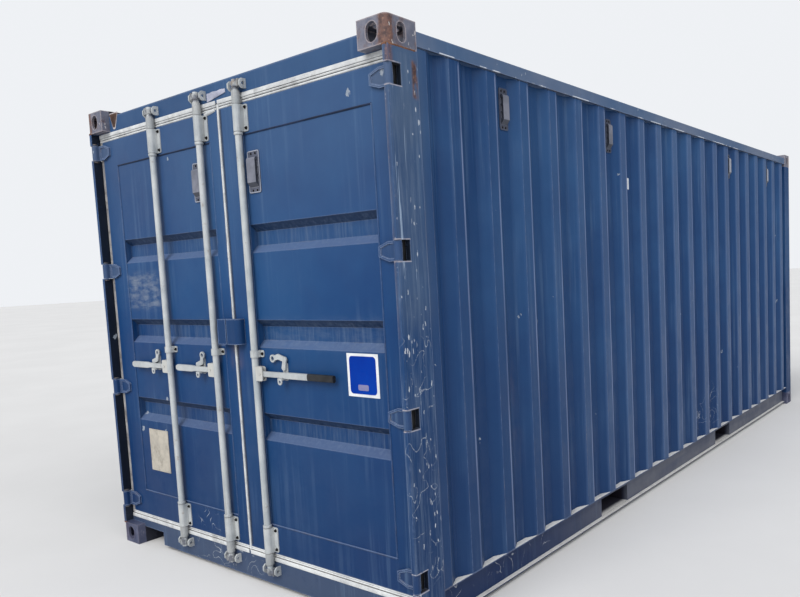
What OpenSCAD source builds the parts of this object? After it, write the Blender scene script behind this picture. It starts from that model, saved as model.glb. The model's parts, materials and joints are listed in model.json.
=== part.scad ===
/* [Overall size] */
// Length over the corner castings
length = 6058; // [4000:1:12192]
// Width over the corner castings
width = 2438; // [2200:1:2600]
// Height over the corner castings
height = 2591; // [2400:1:2896]

/* [Corner castings] */
// Length of a casting along the container
casting_l = 178; // [172:1:190]
// Width of a casting across the container
casting_w = 162; // [150:1:175]
// Height of a casting
casting_h = 118; // [112:1:130]
// Wall thickness of a casting
casting_wall = 14; // [10:1:18]
// Thickness of the plate round the top and bottom apertures
casting_face = 28; // [20:1:32]
// Radius of the outer upright edge of a casting
casting_r = 25; // [12:1:28]
// Length of the top and bottom apertures
aperture_l = 124; // [100:1:126]
// Width of the top, bottom and end apertures
aperture_w = 63.5; // [50:0.5:66]
// Width of the side apertures
side_aperture_w = 51; // [40:1:54]
// Height of the end and side apertures
aperture_h = 80; // [70:1:82]

/* [Rear posts] */
// Width of the narrow face beside the doors
post_return = 26; // [22:1:34]
// Width of a post behind the doors
post_w = 49; // [44:1:60]
// Radius of a post's outer rear edge
post_r = 10; // [7:0.5:18]
// Plate thickness of posts and beams
post_wall = 6; // [4:0.5:8]

/* [Doors] */
// Depth of the door faces behind the casting faces
door_recess = 48; // [46:1:56]
// Thickness of a door
door_t = 50; // [42:1:52]
// Gap between the narrow post face and a door's hinge edge
door_side_gap = 33; // [30:1:40]
// Height of the door opening's lower edge
sill_top = 160; // [140:1:170]
// Length of the notch in the sill beside each casting
sill_notch = 207; // [100:1:300]
// Height of the notch's upper edge
sill_notch_z = 100; // [60:1:110]
// Height of the rear header's lower edge below the top
header_drop = 135; // [130:1:170]
// Gap between the door plates and the header
door_top_gap = 34; // [30:1:40]
// Gap between the door plates and the sill
door_bottom_gap = 27; // [24:1:36]
// Width of the gap between the two door plates
seam_gap = 24; // [20:1:30]
// Width of a door's hinge side member, left door
left_hinge_stile = 155; // [100:1:200]
// Width of a door's seam side member, left door
left_seam_stile = 75; // [60:1:120]
// Width of a door's hinge side member, right door
right_hinge_stile = 90; // [70:1:160]
// Width of a door's seam side member, right door
right_seam_stile = 176; // [160:1:230]
// Height of the top and bottom members of a door
door_rail_h = 150; // [120:1:180]
// Plate thickness of a door
door_plate = 4; // [3:0.5:6]
// Height of a recessed rib in a door panel
rib_h = 136; // [110:1:180]
// Height of a rib's sloping side
rib_slope = 34; // [20:1:45]
// Depth of a rib
rib_depth = 36; // [20:1:40]
// Number of ribs in a door panel
rib_count = 3; // [2:1:4]
// Height of the lowest rib's middle
rib_first_z = 840; // [700:1:900]
// Distance of the highest rib's middle below the top
rib_top_drop = 819; // [700:1:900]
// Running gap between door parts and the frame round them
door_clear = 6; // [5:0.5:10]

/* [Hinges] */
// Number of hinges on a door
hinge_count = 4; // [2:1:5]
// Height of the lowest hinge
hinge_first_z = 265; // [240:1:400]
// Distance of the highest hinge below the top
hinge_top_drop = 229; // [220:1:400]
// Distance of a hinge pin inside the outer faces
pin_inset = 20; // [19:0.5:22]
// Radius of a hinge pin
pin_r = 9; // [7:0.5:10]
// Radius of a hinge knuckle
knuckle_r = 17; // [15:0.5:18]
// Height of a hinge knuckle
knuckle_h = 84; // [70:1:95]
// Gap above and below a knuckle
knuckle_gap = 1; // [0.5:0.5:2]
// Thickness of the lugs above and below a knuckle
lug_t = 7; // [5:1:12]
// Depth of the notch in the post at a hinge
hinge_notch = 75; // [74:1:85]
// Length of a hinge blade on the door
blade_l = 125; // [90:1:128]
// Height of a hinge blade at its free end
blade_tip_h = 44; // [30:1:60]
// Thickness of a hinge blade
blade_t = 12; // [8:1:12]
// Radial running clearance of a pin in its bore
pin_clear = 0.06; // [0.02:0.01:0.1]

/* [Lock rods] */
// Radius of a lock rod
rod_r = 16.5; // [13:0.5:17]
// Distance of a rod's axis in front of the door face
rod_stand = 26; // [25.5:0.5:27]
// Place of the left door's outer rod across the container
outer_rod_x = -577; // [-650:1:-520]
// Place of the left door's inner rod
inner_rod_x = -131; // [-140:1:-125]
// Place of the right door's rod
right_rod_x = 200; // [180:1:240]
// Radial clearance of a rod in its guides
rod_clear = 0.7; // [0.3:0.1:1.2]
// Height of the tall guides at both ends of a rod
guide_h = 128; // [90:1:150]
// Width of the tall guides
guide_w = 100; // [80:1:110]
// Radius of the holes in the tall guides
guide_hole_r = 6; // [4:0.5:7]
// Distance of the tall guides from the ends of the door
guide_inset = 10; // [6:1:30]
// Height of the narrow guide in the middle
strap_h = 34; // [20:1:60]
// Width of the narrow guide
strap_w = 86; // [70:1:100]
// Place of the narrow guide
strap_z = 1208; // [1190:1:1230]
// Radius of the sleeves between guides and cams
sleeve_r = 20.5; // [18:0.5:20.5]
// Radius of a cam's round head
cam_r = 19; // [17:0.5:20.5]
// Distance of a cam's middle beyond the door plate
cam_reach = 83; // [76:1:88]
// Height of a cam head
cam_h = 46; // [36:1:60]
// Reach of the cam lobe from the rod's axis
cam_lobe = 34; // [28:1:38]
// Gap between a cam lobe and the keeper lugs
keeper_gap = 7; // [6:0.5:10]

/* [Handles] */
// Height of the handles
handle_z = 1112; // [1080:1:1120]
// Height of a handle hub
hub_h = 72; // [50:1:80]
// Distance of a handle's pivot from its rod's axis
pivot_reach = 44; // [40:1:60]
// Radius of a handle's pivot pin
pivot_r = 6; // [4:0.5:8]
// Thickness of a handle bar
bar_t = 12; // [8:1:12]
// Height of a handle bar at its pivot
bar_h = 26; // [18:1:30]
// Reach of the left outer handle from its rod
outer_handle_l = 400; // [300:1:420]
// Reach of the left inner handle from its rod
inner_handle_l = 380; // [300:1:390]
// Reach of the right handle from its rod
right_handle_l = 566; // [450:1:600]
// Length of the dark grip on the right handle
grip_l = 174; // [120:1:200]
// Distance of a retainer from its rod, left door
left_retainer_x = 156; // [130:1:180]
// Distance of a retainer from its rod, right door
right_retainer_x = 200; // [180:1:240]

/* [Walls and roof] */
// Distance of the wall's outer folds inside the overall width
wall_inset = 6; // [4:1:12]
// Distance between wall folds
wall_pitch = 280.2; // [240:0.1:320]
// Width of an outer fold
wall_crest = 72; // [50:1:90]
// Length of a fold's slope
wall_slope = 68; // [40:1:80]
// Depth of the wall folds
wall_depth = 36; // [20:1:45]
// Thickness of wall and roof sheet
sheet_t = 3; // [2:0.5:4]
// Width of the flat strip beside the rear post
wall_strip = 61; // [2:1:70]
// Width of the narrow inner fold after that strip
wall_narrow = 16; // [6:1:60]
// Depth of the folds in the closed end
end_depth = 45; // [30:1:50]
// Distance between folds in the closed end
end_pitch = 250; // [220:1:300]
// Height of a roof fold
roof_fold = 20; // [10:1:25]
// Distance between roof folds
roof_pitch = 209; // [150:1:260]
// Side of the square top rails
top_rail = 60; // [50:1:80]
// Depth of the rails and header below the casting tops
roof_drop = 36; // [30:1:50]

/* [Base] */
// Height of the base frame's underside
base_z = 20; // [12:1:30]
// Height of the bottom side rails' upper edge
rail_top = 175; // [160:1:190]
// Width of a bottom rail's upper flange
rail_flange = 48; // [40:1:60]
// Width of a bottom rail's lower flange
rail_foot = 32; // [20:1:40]
// Thickness of a bottom rail
rail_t = 5; // [4:0.5:8]
// Height of the floor surface
floor_z = 166; // [150:1:170]
// Thickness of the floor boards
floor_t = 28; // [20:1:30]
// Number of rows of floor boards
floor_rows = 5; // [3:1:12]
// Gap between floor boards
floor_gap = 2; // [1:0.5:4]
// Number of cross member places
cross_count = 20; // [8:1:30]
// Width of a cross member's flanges
cross_w = 45; // [30:1:60]
// Thickness of a cross member
cross_t = 5; // [4:0.5:6]
// Width of a forklift pocket
pocket_w = 360; // [300:1:380]
// Distance between the middles of the forklift pockets
pocket_pitch = 2050; // [1900:1:2100]
// Shift of both pockets towards the doors
pocket_shift = 75; // [0:1:150]
// Plate thickness of a forklift pocket
pocket_t = 6; // [4:1:8]

/* [Fittings] */
// Height of a ventilator cover
vent_h = 200; // [150:1:220]
// Width of a ventilator cover
vent_w = 88; // [60:1:110]
// Depth of a ventilator cover
vent_t = 22; // [12:1:30]
// Distance of the wall ventilators' middles below the top
wall_vent_drop = 249; // [230:1:400]
// Distance of the door ventilators' middles below the top
door_vent_drop = 503; // [470:1:560]
// Reach of the lock box to the left of the seam
lock_box_left = 68; // [50:1:70]
// Reach of the lock box to the right of the seam
lock_box_right = 102; // [80:1:130]
// Radius of the lock box's rounded front
lock_box_r = 30; // [10:1:36]
// Height of the lock box
lock_box_h = 128; // [100:1:160]
// Height of the lock box's lower edge
lock_box_z = 1252; // [1235:1:1300]
// Width of the data plate
plate_w = 200; // [150:1:220]
// Height of the data plate
plate_h = 248; // [200:1:260]
// Distance of the data plate from the door's hinge side member
plate_side = 96; // [60:1:120]
// Distance of the data plate above the door's bottom member
plate_rise = 139; // [100:1:160]

/* [Hidden] */
$fn = 48;

blue = "steelblue";
dark_blue = "midnightblue";
eps = 1;
half_l = length / 2;
half_w = width / 2;
rear = -half_l;
frame_l = half_l - casting_l;
casting_under = height - casting_h;
between_castings = half_w - casting_w;

door_face = rear + door_recess;
door_back = door_face + door_t;
panel_inset = 1.5;
panel_face = door_face + panel_inset;
reveal = half_w - post_return;
inner_face = half_w - post_w;
post_step = door_recess + door_t + door_clear;
door_edge = reveal - door_side_gap;
door_z0 = sill_top + door_bottom_gap;
header_z = height - header_drop;
door_z1 = header_z - door_top_gap;
left_seam = 0;
right_seam = left_seam + seam_gap;
frame_top = height - roof_drop;
beam_depth = 80;

left_window = [-door_edge + left_hinge_stile, left_seam - left_seam_stile];
right_window = [right_seam + right_seam_stile, door_edge - right_hinge_stile];

rib_pitch = (height - rib_top_drop - rib_first_z) / (rib_count - 1);
rib_zs = [for (i = [0:rib_count - 1]) rib_first_z + i * rib_pitch];

pin_x = half_w - pin_inset;
pin_y = rear + pin_inset;
hinge_pitch = (height - hinge_top_drop - hinge_first_z) / (hinge_count - 1);
hinge_zs = [for (i = [0:hinge_count - 1]) hinge_first_z + i * hinge_pitch];
bore_r = pin_r + pin_clear;
notch_h = knuckle_h + 2 * knuckle_gap;
lug_h = notch_h + 2 * lug_t;

rod_y = door_face - rod_stand;
guide_shell = 4;
guide_r = rod_r + rod_clear;
guide_outer = guide_r + guide_shell;
plate_t = 5;
rod_z0 = door_z0 - cam_reach - cam_h / 2;
rod_z1 = door_z1 + cam_reach + cam_h / 2;
guide_zs = [door_z0 + guide_inset + guide_h / 2, door_z1 - guide_inset - guide_h / 2];
lobe_w = 18;
collar_gap = 2;
sleeve_start = collar_gap - guide_inset;
keeper_t = 10;
keeper_depth = 36;
keeper_hole_r = 8;

wall_face = half_w - wall_inset;
wall_back = wall_face - wall_depth - sheet_t;
wall_flat = wall_pitch - wall_crest - 2 * wall_slope;
wall_first = wall_strip + 2 * wall_slope + wall_narrow;
web_x = wall_face - rail_flange;
floor_under = floor_z - floor_t;
pocket_ys = [for (s = [-1, 1]) s * pocket_pitch / 2 - pocket_shift];
end_inset = 15;

// Mirrors its child to the other side of the container
module both_sides() {
    children();
    mirror([1, 0, 0]) children();
}

// Points of a folded sheet: distance along it and depth of the fold
function folds(first, last, pitch, crest, slope, depth) = [
    for (i = [0:ceil((last - first) / pitch)])
        for (p = [[0, 0], [crest, 0], [crest + slope, depth], [pitch - slope, depth]])
            [first + i * pitch + p[0], p[1]]];

// Outline of a folded sheet of even thickness, folds along X
module folded_outline(points, t) {
    back = [for (i = [len(points) - 1:-1:0]) [points[i][0], points[i][1] + t]];
    polygon(concat(points, back));
}

// Rectangle between two corners
module rect(a, b) {
    translate(a) square([b[0] - a[0], b[1] - a[1]]);
}

// Box between two corners
module box(a, b) {
    translate(a) cube([b[0] - a[0], b[1] - a[1], b[2] - a[2]]);
}

// Flat rectangle with round corners about the middle
module rounded_rect(w, h, r) {
    square([w - 2 * r, h], center = true);
    square([w, h - 2 * r], center = true);
    for (i = [-1, 1]) for (k = [-1, 1])
        translate([i * (w / 2 - r), k * (h / 2 - r)]) circle(r = r);
}

// Upright slot with round ends, along Y
module upright_slot(w, h, depth) {
    rotate([90, 0, 0]) translate([0, 0, -depth / 2]) linear_extrude(depth) {
        square([w, h - w], center = true);
        for (s = [-1, 1]) translate([0, s * (h - w) / 2]) circle(d = w);
    }
}

// Corner casting with its outer corner at the origin, its aperture face down
module casting() {
    cavity_h = casting_h - casting_face - casting_wall;
    difference() {
        linear_extrude(casting_h) difference() {
            square([casting_w, casting_l]);
            rect([-eps, -eps], [casting_r, casting_r]);
        }
        translate([casting_wall, casting_wall, casting_face])
            cube([casting_w - 2 * casting_wall, casting_l - 2 * casting_wall, cavity_h]);
        translate([casting_w / 2, casting_l / 2, -eps])
            linear_extrude(casting_face + 2 * eps) {
                square([aperture_w, aperture_l - aperture_w], center = true);
                for (s = [-1, 1])
                    translate([0, s * (aperture_l - aperture_w) / 2]) circle(d = aperture_w);
            }
        translate([casting_w / 2, 0, casting_h / 2])
            upright_slot(aperture_w, aperture_h, 3 * casting_wall);
        translate([0, casting_l / 2, casting_h / 2]) rotate([0, 0, 90])
            upright_slot(side_aperture_w, aperture_h, 3 * casting_wall);
    }
    intersection() {
        translate([casting_r, casting_r, 0]) cylinder(r = casting_r, h = casting_h);
        difference() {
            cube([casting_r, casting_r, casting_h]);
            translate([casting_wall, casting_wall, casting_face])
                cube([casting_r, casting_r, casting_h - casting_face - casting_wall]);
        }
    }
}

// Four castings of one level
module four_castings() {
    for (end = [0, 1]) mirror([0, end, 0]) both_sides()
        translate([half_w, rear, 0]) mirror([1, 0, 0]) casting();
}

module bottom_corner_castings() {
    color("dimgray") four_castings();
}

module top_corner_castings() {
    color("dimgray") translate([0, 0, height]) mirror([0, 0, 1]) four_castings();
}

// Plan of a right rear post, with its outer corner rounded
module rear_post_plan() {
    difference() {
        polygon([[reveal, rear], [half_w, rear], [half_w, rear + casting_l],
            [inner_face, rear + casting_l], [inner_face, rear + post_step],
            [reveal, rear + post_step]]);
        rect([half_w - post_r, rear - eps], [half_w + eps, rear + post_r]);
    }
    translate([half_w - post_r, rear + post_r]) circle(r = post_r);
}

// Right rear post with its hinge notches and lugs
module rear_post() {
    post_h = casting_under - casting_h;
    difference() {
        union() {
            translate([0, 0, casting_h]) linear_extrude(post_h) difference() {
                rear_post_plan();
                rect([reveal + post_wall, rear + post_wall],
                    [half_w - post_wall, rear + casting_l - post_wall]);
                rect([inner_face + post_wall, rear + post_step + post_wall],
                    [half_w - post_wall, rear + casting_l - post_wall]);
            }
            for (z = hinge_zs) translate([0, 0, z - lug_h / 2]) {
                linear_extrude(lug_h) intersection() {
                    rear_post_plan();
                    rect([reveal, rear], [half_w, rear + hinge_notch + post_wall]);
                }
                translate([pin_x, pin_y, 0]) cylinder(r = knuckle_r, h = lug_h);
            }
        }
        for (z = hinge_zs) {
            translate([0, 0, z - notch_h / 2])
                box([reveal - post_w, rear - eps, 0],
                    [half_w + eps, rear + hinge_notch, notch_h]);
            translate([pin_x, pin_y, z - lug_h / 2 - eps])
                cylinder(r = bore_r, h = lug_h + 2 * eps);
        }
    }
}

module right_rear_post() {
    color(blue) rear_post();
}

module left_rear_post() {
    color(blue) mirror([1, 0, 0]) rear_post();
}

module hinge_pins() {
    color("silver") both_sides() for (z = hinge_zs)
        translate([pin_x, pin_y, z - lug_h / 2]) cylinder(r = pin_r, h = lug_h);
}

// Posts of the closed end, with a wide face to the wall
module front_corner_posts() {
    face_w = 110;
    face_t = 60;
    side_w = 55;
    color(blue) both_sides() translate([0, 0, casting_h])
        linear_extrude(casting_under - casting_h) difference() {
            union() {
                rect([half_w - face_w, half_l - face_t], [half_w - casting_r, half_l]);
                rect([half_w - side_w, frame_l], [half_w, half_l - casting_r]);
                translate([half_w - casting_r, half_l - casting_r]) circle(r = casting_r);
            }
            rect([half_w - face_w + post_wall, half_l - face_t + post_wall],
                [half_w - post_wall, half_l - post_wall - casting_r / 2]);
            rect([half_w - side_w + post_wall, frame_l + post_wall],
                [half_w - post_wall, half_l - face_t]);
        }
}

// Hollow beam along X between two heights, from its face inwards
module rear_beam(z0, z1, x) {
    difference() {
        box([-x, door_face, z0], [x, door_face + beam_depth, z1]);
        box([-x - eps, door_face + post_wall, z0 + post_wall],
            [x + eps, door_face + beam_depth - post_wall, z1 - post_wall]);
    }
}

// Strip that closes the beam's end over or under a casting
module beam_shoulder(z0, z1) {
    step_y = rear + post_step;
    both_sides() {
        box([between_castings - post_wall, door_face, z0], [reveal, step_y, z1]);
        box([between_castings - post_wall, step_y - eps, z0],
            [inner_face, door_face + beam_depth, z1]);
    }
}

module rear_header() {
    color(blue) {
        rear_beam(header_z, frame_top, between_castings);
        beam_shoulder(header_z, casting_under);
    }
}

module rear_sill() {
    notch_x = between_castings - sill_notch;
    color(dark_blue) {
        difference() {
            rear_beam(base_z, sill_top, between_castings);
            both_sides() box([notch_x, door_face - eps, base_z - eps],
                [half_w, door_face + beam_depth + eps, sill_notch_z]);
        }
        both_sides() {
            box([notch_x - post_wall, door_face, base_z],
                [notch_x, door_face + beam_depth, sill_notch_z + post_wall]);
            box([notch_x - post_wall, door_face, sill_notch_z],
                [between_castings, door_face + beam_depth, sill_notch_z + post_wall]);
        }
        beam_shoulder(casting_h, sill_top);
    }
}

// Lower and upper beams of the closed end
module front_end_beams() {
    y0 = half_l - end_inset - beam_depth;
    color(blue) for (z = [[base_z, casting_h], [casting_under, frame_top]])
        difference() {
            box([-between_castings, y0, z[0]],
                [between_castings, half_l - end_inset, z[1]]);
            box([-between_castings - eps, y0 + post_wall, z[0] + post_wall],
                [between_castings + eps, half_l - end_inset - post_wall, z[1] - post_wall]);
        }
}

module top_side_rails() {
    x1 = half_w - 3;
    color(blue) both_sides() difference() {
        box([x1 - top_rail, -frame_l, frame_top - top_rail], [x1, frame_l, frame_top]);
        box([x1 - top_rail + rail_t, -frame_l - eps, frame_top - top_rail + rail_t],
            [x1 - rail_t, frame_l + eps, frame_top - rail_t]);
    }
}

// Right bottom rail: a channel open to the outside, with forklift openings
module bottom_rail() {
    difference() {
        box([web_x, -frame_l, base_z], [wall_face, frame_l, rail_top]);
        box([web_x + rail_t, -frame_l - eps, base_z + rail_t],
            [wall_face + eps, frame_l + eps, rail_top - rail_t]);
        box([web_x + rail_foot, -frame_l - eps, base_z - eps],
            [wall_face + eps, frame_l + eps, base_z + rail_t + eps]);
        for (y = pocket_ys)
            box([web_x - eps, y - pocket_w / 2, base_z + pocket_t],
                [web_x + rail_t + eps, y + pocket_w / 2, floor_under - pocket_t]);
    }
}

module right_bottom_rail() {
    color(dark_blue) bottom_rail();
}

module left_bottom_rail() {
    color(dark_blue) mirror([1, 0, 0]) bottom_rail();
}

// Right side wall, folded along its length
module side_wall() {
    strip = -frame_l + wall_strip;
    first = -frame_l + wall_first;
    start = [[-frame_l, 0], [strip, 0], [strip + wall_slope, wall_depth],
        [first - wall_slope, wall_depth]];
    points = concat(start,
        folds(first, frame_l, wall_pitch, wall_crest, wall_slope, wall_depth));
    translate([0, 0, rail_top])
        linear_extrude(frame_top - top_rail - rail_top)
            intersection() {
                translate([wall_face, 0]) rotate([0, 0, 90])
                    folded_outline(points, sheet_t);
                rect([0, -frame_l], [half_w, frame_l]);
            }
}

module right_side_wall() {
    color(blue) side_wall();
}

module left_side_wall() {
    color(blue) mirror([1, 0, 0]) side_wall();
}

module front_wall() {
    span = half_w - 110;
    slope = 50;
    crest = end_pitch / 2 - slope;
    n = ceil(span / end_pitch);
    points = folds(-n * end_pitch - crest / 2, n * end_pitch, end_pitch, crest, slope, end_depth);
    color(blue) translate([0, 0, casting_h])
        linear_extrude(casting_under - casting_h)
            intersection() {
                translate([0, half_l - end_inset]) mirror([0, 1])
                    folded_outline(points, sheet_t);
                rect([-span, 0], [span, half_l]);
            }
}

// Roof sheet with folds across the container and flat ends and edges
module roof_panel() {
    slope = 35;
    crest = roof_pitch / 2 - slope;
    edge_x = half_w - 3 - top_rail / 2;
    fold_x = edge_x - 70;
    points = folds(-frame_l + crest / 2, frame_l - roof_pitch, roof_pitch, crest, slope, roof_fold);
    color(blue) {
        intersection() {
            translate([-fold_x, 0, frame_top]) rotate([90, 0, 90])
                linear_extrude(2 * fold_x) folded_outline(points, sheet_t);
            box([-half_w, -frame_l, 0], [half_w, frame_l, height]);
        }
        both_sides() {
            translate([fold_x - sheet_t, 0, frame_top]) rotate([90, 0, 90])
                linear_extrude(sheet_t) intersection() {
                    polygon(concat(points, [[frame_l, 0], [-frame_l, 0]]));
                    rect([-frame_l, 0], [frame_l, roof_fold + sheet_t]);
                }
            box([fold_x - sheet_t, -frame_l, frame_top],
                [edge_x, frame_l, frame_top + sheet_t]);
        }
        for (end = [0, 1]) mirror([0, end, 0])
            box([-between_castings, rear + door_recess, frame_top],
                [between_castings, -frame_l + crest, frame_top + sheet_t]);
    }
}

module floor_boards() {
    y0 = door_face + beam_depth + floor_gap;
    y1 = half_l - end_inset - beam_depth - floor_gap;
    row = (y1 - y0) / floor_rows;
    color("peru") both_sides() for (i = [0:floor_rows - 1])
        box([floor_gap / 2, y0 + i * row, floor_under],
            [web_x - floor_gap, y0 + (i + 1) * row - floor_gap, floor_z]);
}

// Channels under the floor, left out where a forklift pocket is
module cross_members() {
    first = door_face + beam_depth + 60;
    step = (2 * abs(first) - cross_w) / (cross_count - 1);
    color(dark_blue) for (i = [0:cross_count - 1]) {
        y = first + i * step;
        gaps = [for (p = pocket_ys) abs(y + cross_w / 2 - p)];
        if (min(gaps) > (pocket_w + cross_w) / 2 + pocket_t + 4)
            difference() {
                box([-web_x, y, base_z], [web_x, y + cross_w, floor_under]);
                box([-web_x - eps, y + cross_t, base_z + cross_t],
                    [web_x + eps, y + cross_w + eps, floor_under - cross_t]);
            }
    }
}

// Two boxes through the base for forklift arms, open below in the middle
module forklift_pockets() {
    strap_w = 200;
    color(dark_blue) for (y = pocket_ys) difference() {
        box([-web_x, y - pocket_w / 2 - pocket_t, base_z],
            [web_x, y + pocket_w / 2 + pocket_t, floor_under]);
        box([-web_x - eps, y - pocket_w / 2, base_z + pocket_t],
            [web_x + eps, y + pocket_w / 2, floor_under - pocket_t]);
        box([-web_x + strap_w, y - pocket_w / 2, base_z - eps],
            [web_x - strap_w, y + pocket_w / 2, base_z + pocket_t + eps]);
    }
}

// Ventilator cover of width w on the plane Z = 0, along Y: rimmed plate and louvred hood
module vent_cover(w) {
    rim = 5;
    rim_h = 2;
    plate = 3;
    hood_w = w * 0.74;
    profile = [[0, -0.4], [1, -0.26], [1, 0.29], [0.82, 0.33], [0, 0.35]];
    louvre_h = 0.15 * vent_h;
    louvre_pitch = 0.175 * vent_h;
    louvre_z = plate + rim_h + 1;
    difference() {
        union() {
            difference() {
                linear_extrude(plate + rim_h) rounded_rect(w, vent_h, 2 * rim);
                translate([0, 0, plate]) linear_extrude(rim_h + eps)
                    rounded_rect(w - 2 * rim, vent_h - 2 * rim, rim);
            }
            rotate([0, -90, 0]) translate([0, 0, -hood_w / 2]) linear_extrude(hood_w)
                polygon([for (p = profile) [p[0] * vent_t, p[1] * vent_h]]);
        }
        for (s = [-1, 1]) for (i = [-1:1])
            translate([s * hood_w / 2 - 6, (i + 0.08) * louvre_pitch - louvre_h / 2, louvre_z])
                cube([12, louvre_h, vent_t - louvre_z - 3]);
    }
}

module wall_vents() {
    vent_waves = [1, 5, 13, 17];
    first = -frame_l + wall_first + wall_crest + wall_slope + wall_flat / 2;
    color("gray") both_sides() for (k = vent_waves)
        translate([wall_face - wall_depth, first + k * wall_pitch, height - wall_vent_drop])
            rotate([90, 0, 90]) vent_cover(wall_flat - 4);
}

// One member of a door frame; open at the back when it is a channel
module door_member(x0, x1, z0, z1) {
    difference() {
        box([x0, door_face, z0], [x1, door_back, z1]);
        box([x0 + door_plate, door_face + door_plate, z0 + door_plate],
            [x1 - door_plate, door_back + eps, z1 - door_plate]);
    }
}

// Outer frame of a door between its edges, round a window for the panel
module door_frame(x0, x1, window) {
    door_member(x0, window[0], door_z0, door_z1);
    door_member(window[1], x1, door_z0, door_z1);
    door_member(window[0] - door_plate, window[1] + door_plate, door_z0, door_z0 + door_rail_h);
    door_member(window[0] - door_plate, window[1] + door_plate, door_z1 - door_rail_h, door_z1);
}

// Door panel with recessed ribs across it
module door_panel(window) {
    z0 = door_z0 + door_rail_h;
    z1 = door_z1 - door_rail_h;
    ribs = [for (z = rib_zs) for (p = [[-rib_h / 2, 0], [-rib_h / 2 + rib_slope, rib_depth],
        [rib_h / 2 - rib_slope, rib_depth], [rib_h / 2, 0]]) [z + p[0], p[1]]];
    points = concat([[z0, 0]], ribs, [[z1, 0]]);
    translate([window[0], panel_face, 0]) rotate([0, -90, 180])
        linear_extrude(window[1] - window[0]) mirror([0, 1])
            folded_outline(points, door_plate);
}

module left_door_frame() {
    color(blue) door_frame(-door_edge, left_seam, left_window);
}

module right_door_frame() {
    color(blue) door_frame(right_seam, door_edge, right_window);
}

module left_door_panel() {
    color(blue) door_panel(left_window);
}

module right_door_panel() {
    color(blue) door_panel(right_window);
}

// Rubber seal round a door; the seam side is closed by the right door only
module door_gasket(x0, x1, seam_x) {
    setback = 6;
    depth = 30;
    z0 = sill_top + door_clear;
    z1 = header_z - door_clear;
    edge = reveal - door_clear;
    y0 = door_face + setback;
    difference() {
        box([min(x0, seam_x), y0, z0], [max(x1, seam_x), y0 + depth, z1]);
        box([x0, y0 - eps, door_z0], [x1, y0 + depth + eps, door_z1]);
    }
}

module left_door_gasket() {
    edge = reveal - door_clear;
    color("whitesmoke") difference() {
        door_gasket(-door_edge, left_seam, -edge);
        box([left_seam - eps, door_face, 0], [half_w, door_back, height]);
    }
}

module right_door_gasket() {
    edge = reveal - door_clear;
    strip = left_seam + door_clear + 2;
    color("whitesmoke") {
        door_gasket(right_seam, door_edge, edge);
        box([strip, door_face + 6, sill_top + door_clear],
            [right_seam, door_face + 36, header_z - door_clear]);
    }
}

// Outline of a hinge blade, shrunk by inset
module blade_outline(tip_x, shoulder_x, end_x, inset) {
    tip = blade_tip_h / 2 - inset * 0.6;
    top = knuckle_h / 2 - inset;
    polygon([[tip_x + inset, -tip], [shoulder_x, -top], [end_x, -top], [end_x, top],
        [shoulder_x, top], [tip_x + inset, tip]]);
}

// Hinge blades of the right door with their knuckles
module hinge_blades() {
    recess = 5;
    rim = 11;
    tip_x = pin_x - blade_l;
    shoulder_x = pin_x - blade_l * 0.55;
    for (z = hinge_zs) translate([0, 0, z]) difference() {
        union() {
            translate([pin_x, pin_y, -knuckle_h / 2]) cylinder(r = knuckle_r, h = knuckle_h);
            box([pin_x - knuckle_r, pin_y, -knuckle_h / 2],
                [pin_x, door_face, knuckle_h / 2]);
            translate([0, door_face, 0]) rotate([90, 0, 0]) linear_extrude(blade_t)
                blade_outline(tip_x, shoulder_x, pin_x, 0);
        }
        translate([0, door_face - blade_t + recess, 0]) rotate([90, 0, 0])
            linear_extrude(recess + eps)
                blade_outline(tip_x, shoulder_x, pin_x - knuckle_r - 12, rim);
        translate([pin_x, pin_y, -knuckle_h / 2 - eps])
            cylinder(r = bore_r, h = knuckle_h + 2 * eps);
    }
}

module right_hinge_blades() {
    color(blue) hinge_blades();
}

module left_hinge_blades() {
    color(blue) mirror([1, 0, 0]) hinge_blades();
}

// Flat piece with rounded corners, centred in X and Z, from y towards the front
module rounded_plate(x, y, z, w, h, r, t) {
    translate([x, y, z]) rotate([90, 0, 0]) linear_extrude(t) rounded_rect(w, h, r);
}

// Guide of a rod from its seat at back: base plate and saddle, with holes if tall
module rod_guide(x, z, w, h, back, tall) {
    corner_r = 8;
    hole_x = w / 2 - 13;
    hole_z = h / 2 - 15;
    difference() {
        union() {
            rounded_plate(x, back, z, w, h, corner_r, plate_t);
            translate([x, rod_y, z - h / 2]) cylinder(r = guide_outer, h = h);
            box([x - guide_outer, rod_y, z - h / 2], [x + guide_outer, back, z + h / 2]);
        }
        translate([x, rod_y, z - h / 2 - eps]) cylinder(r = guide_r, h = h + 2 * eps);
        if (tall) for (i = [-1, 1]) for (k = [-1, 1])
            translate([x + i * hole_x, back + eps, z + k * hole_z])
                rotate([90, 0, 0]) cylinder(r = guide_hole_r, h = plate_t + 2 * eps);
    }
}

// All guides of one rod; the middle one is seated at strap_back
module rod_guides(x, strap_back) {
    for (z = guide_zs) rod_guide(x, z, guide_w, guide_h, door_face, true);
    rod_guide(x, strap_z, strap_w, strap_h, strap_back, false);
}

module left_rod_guides() {
    color("gainsboro") for (x = [outer_rod_x, inner_rod_x]) rod_guides(x, panel_face);
}

module right_rod_guides() {
    color("gainsboro") rod_guides(right_rod_x, door_face);
}

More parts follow.
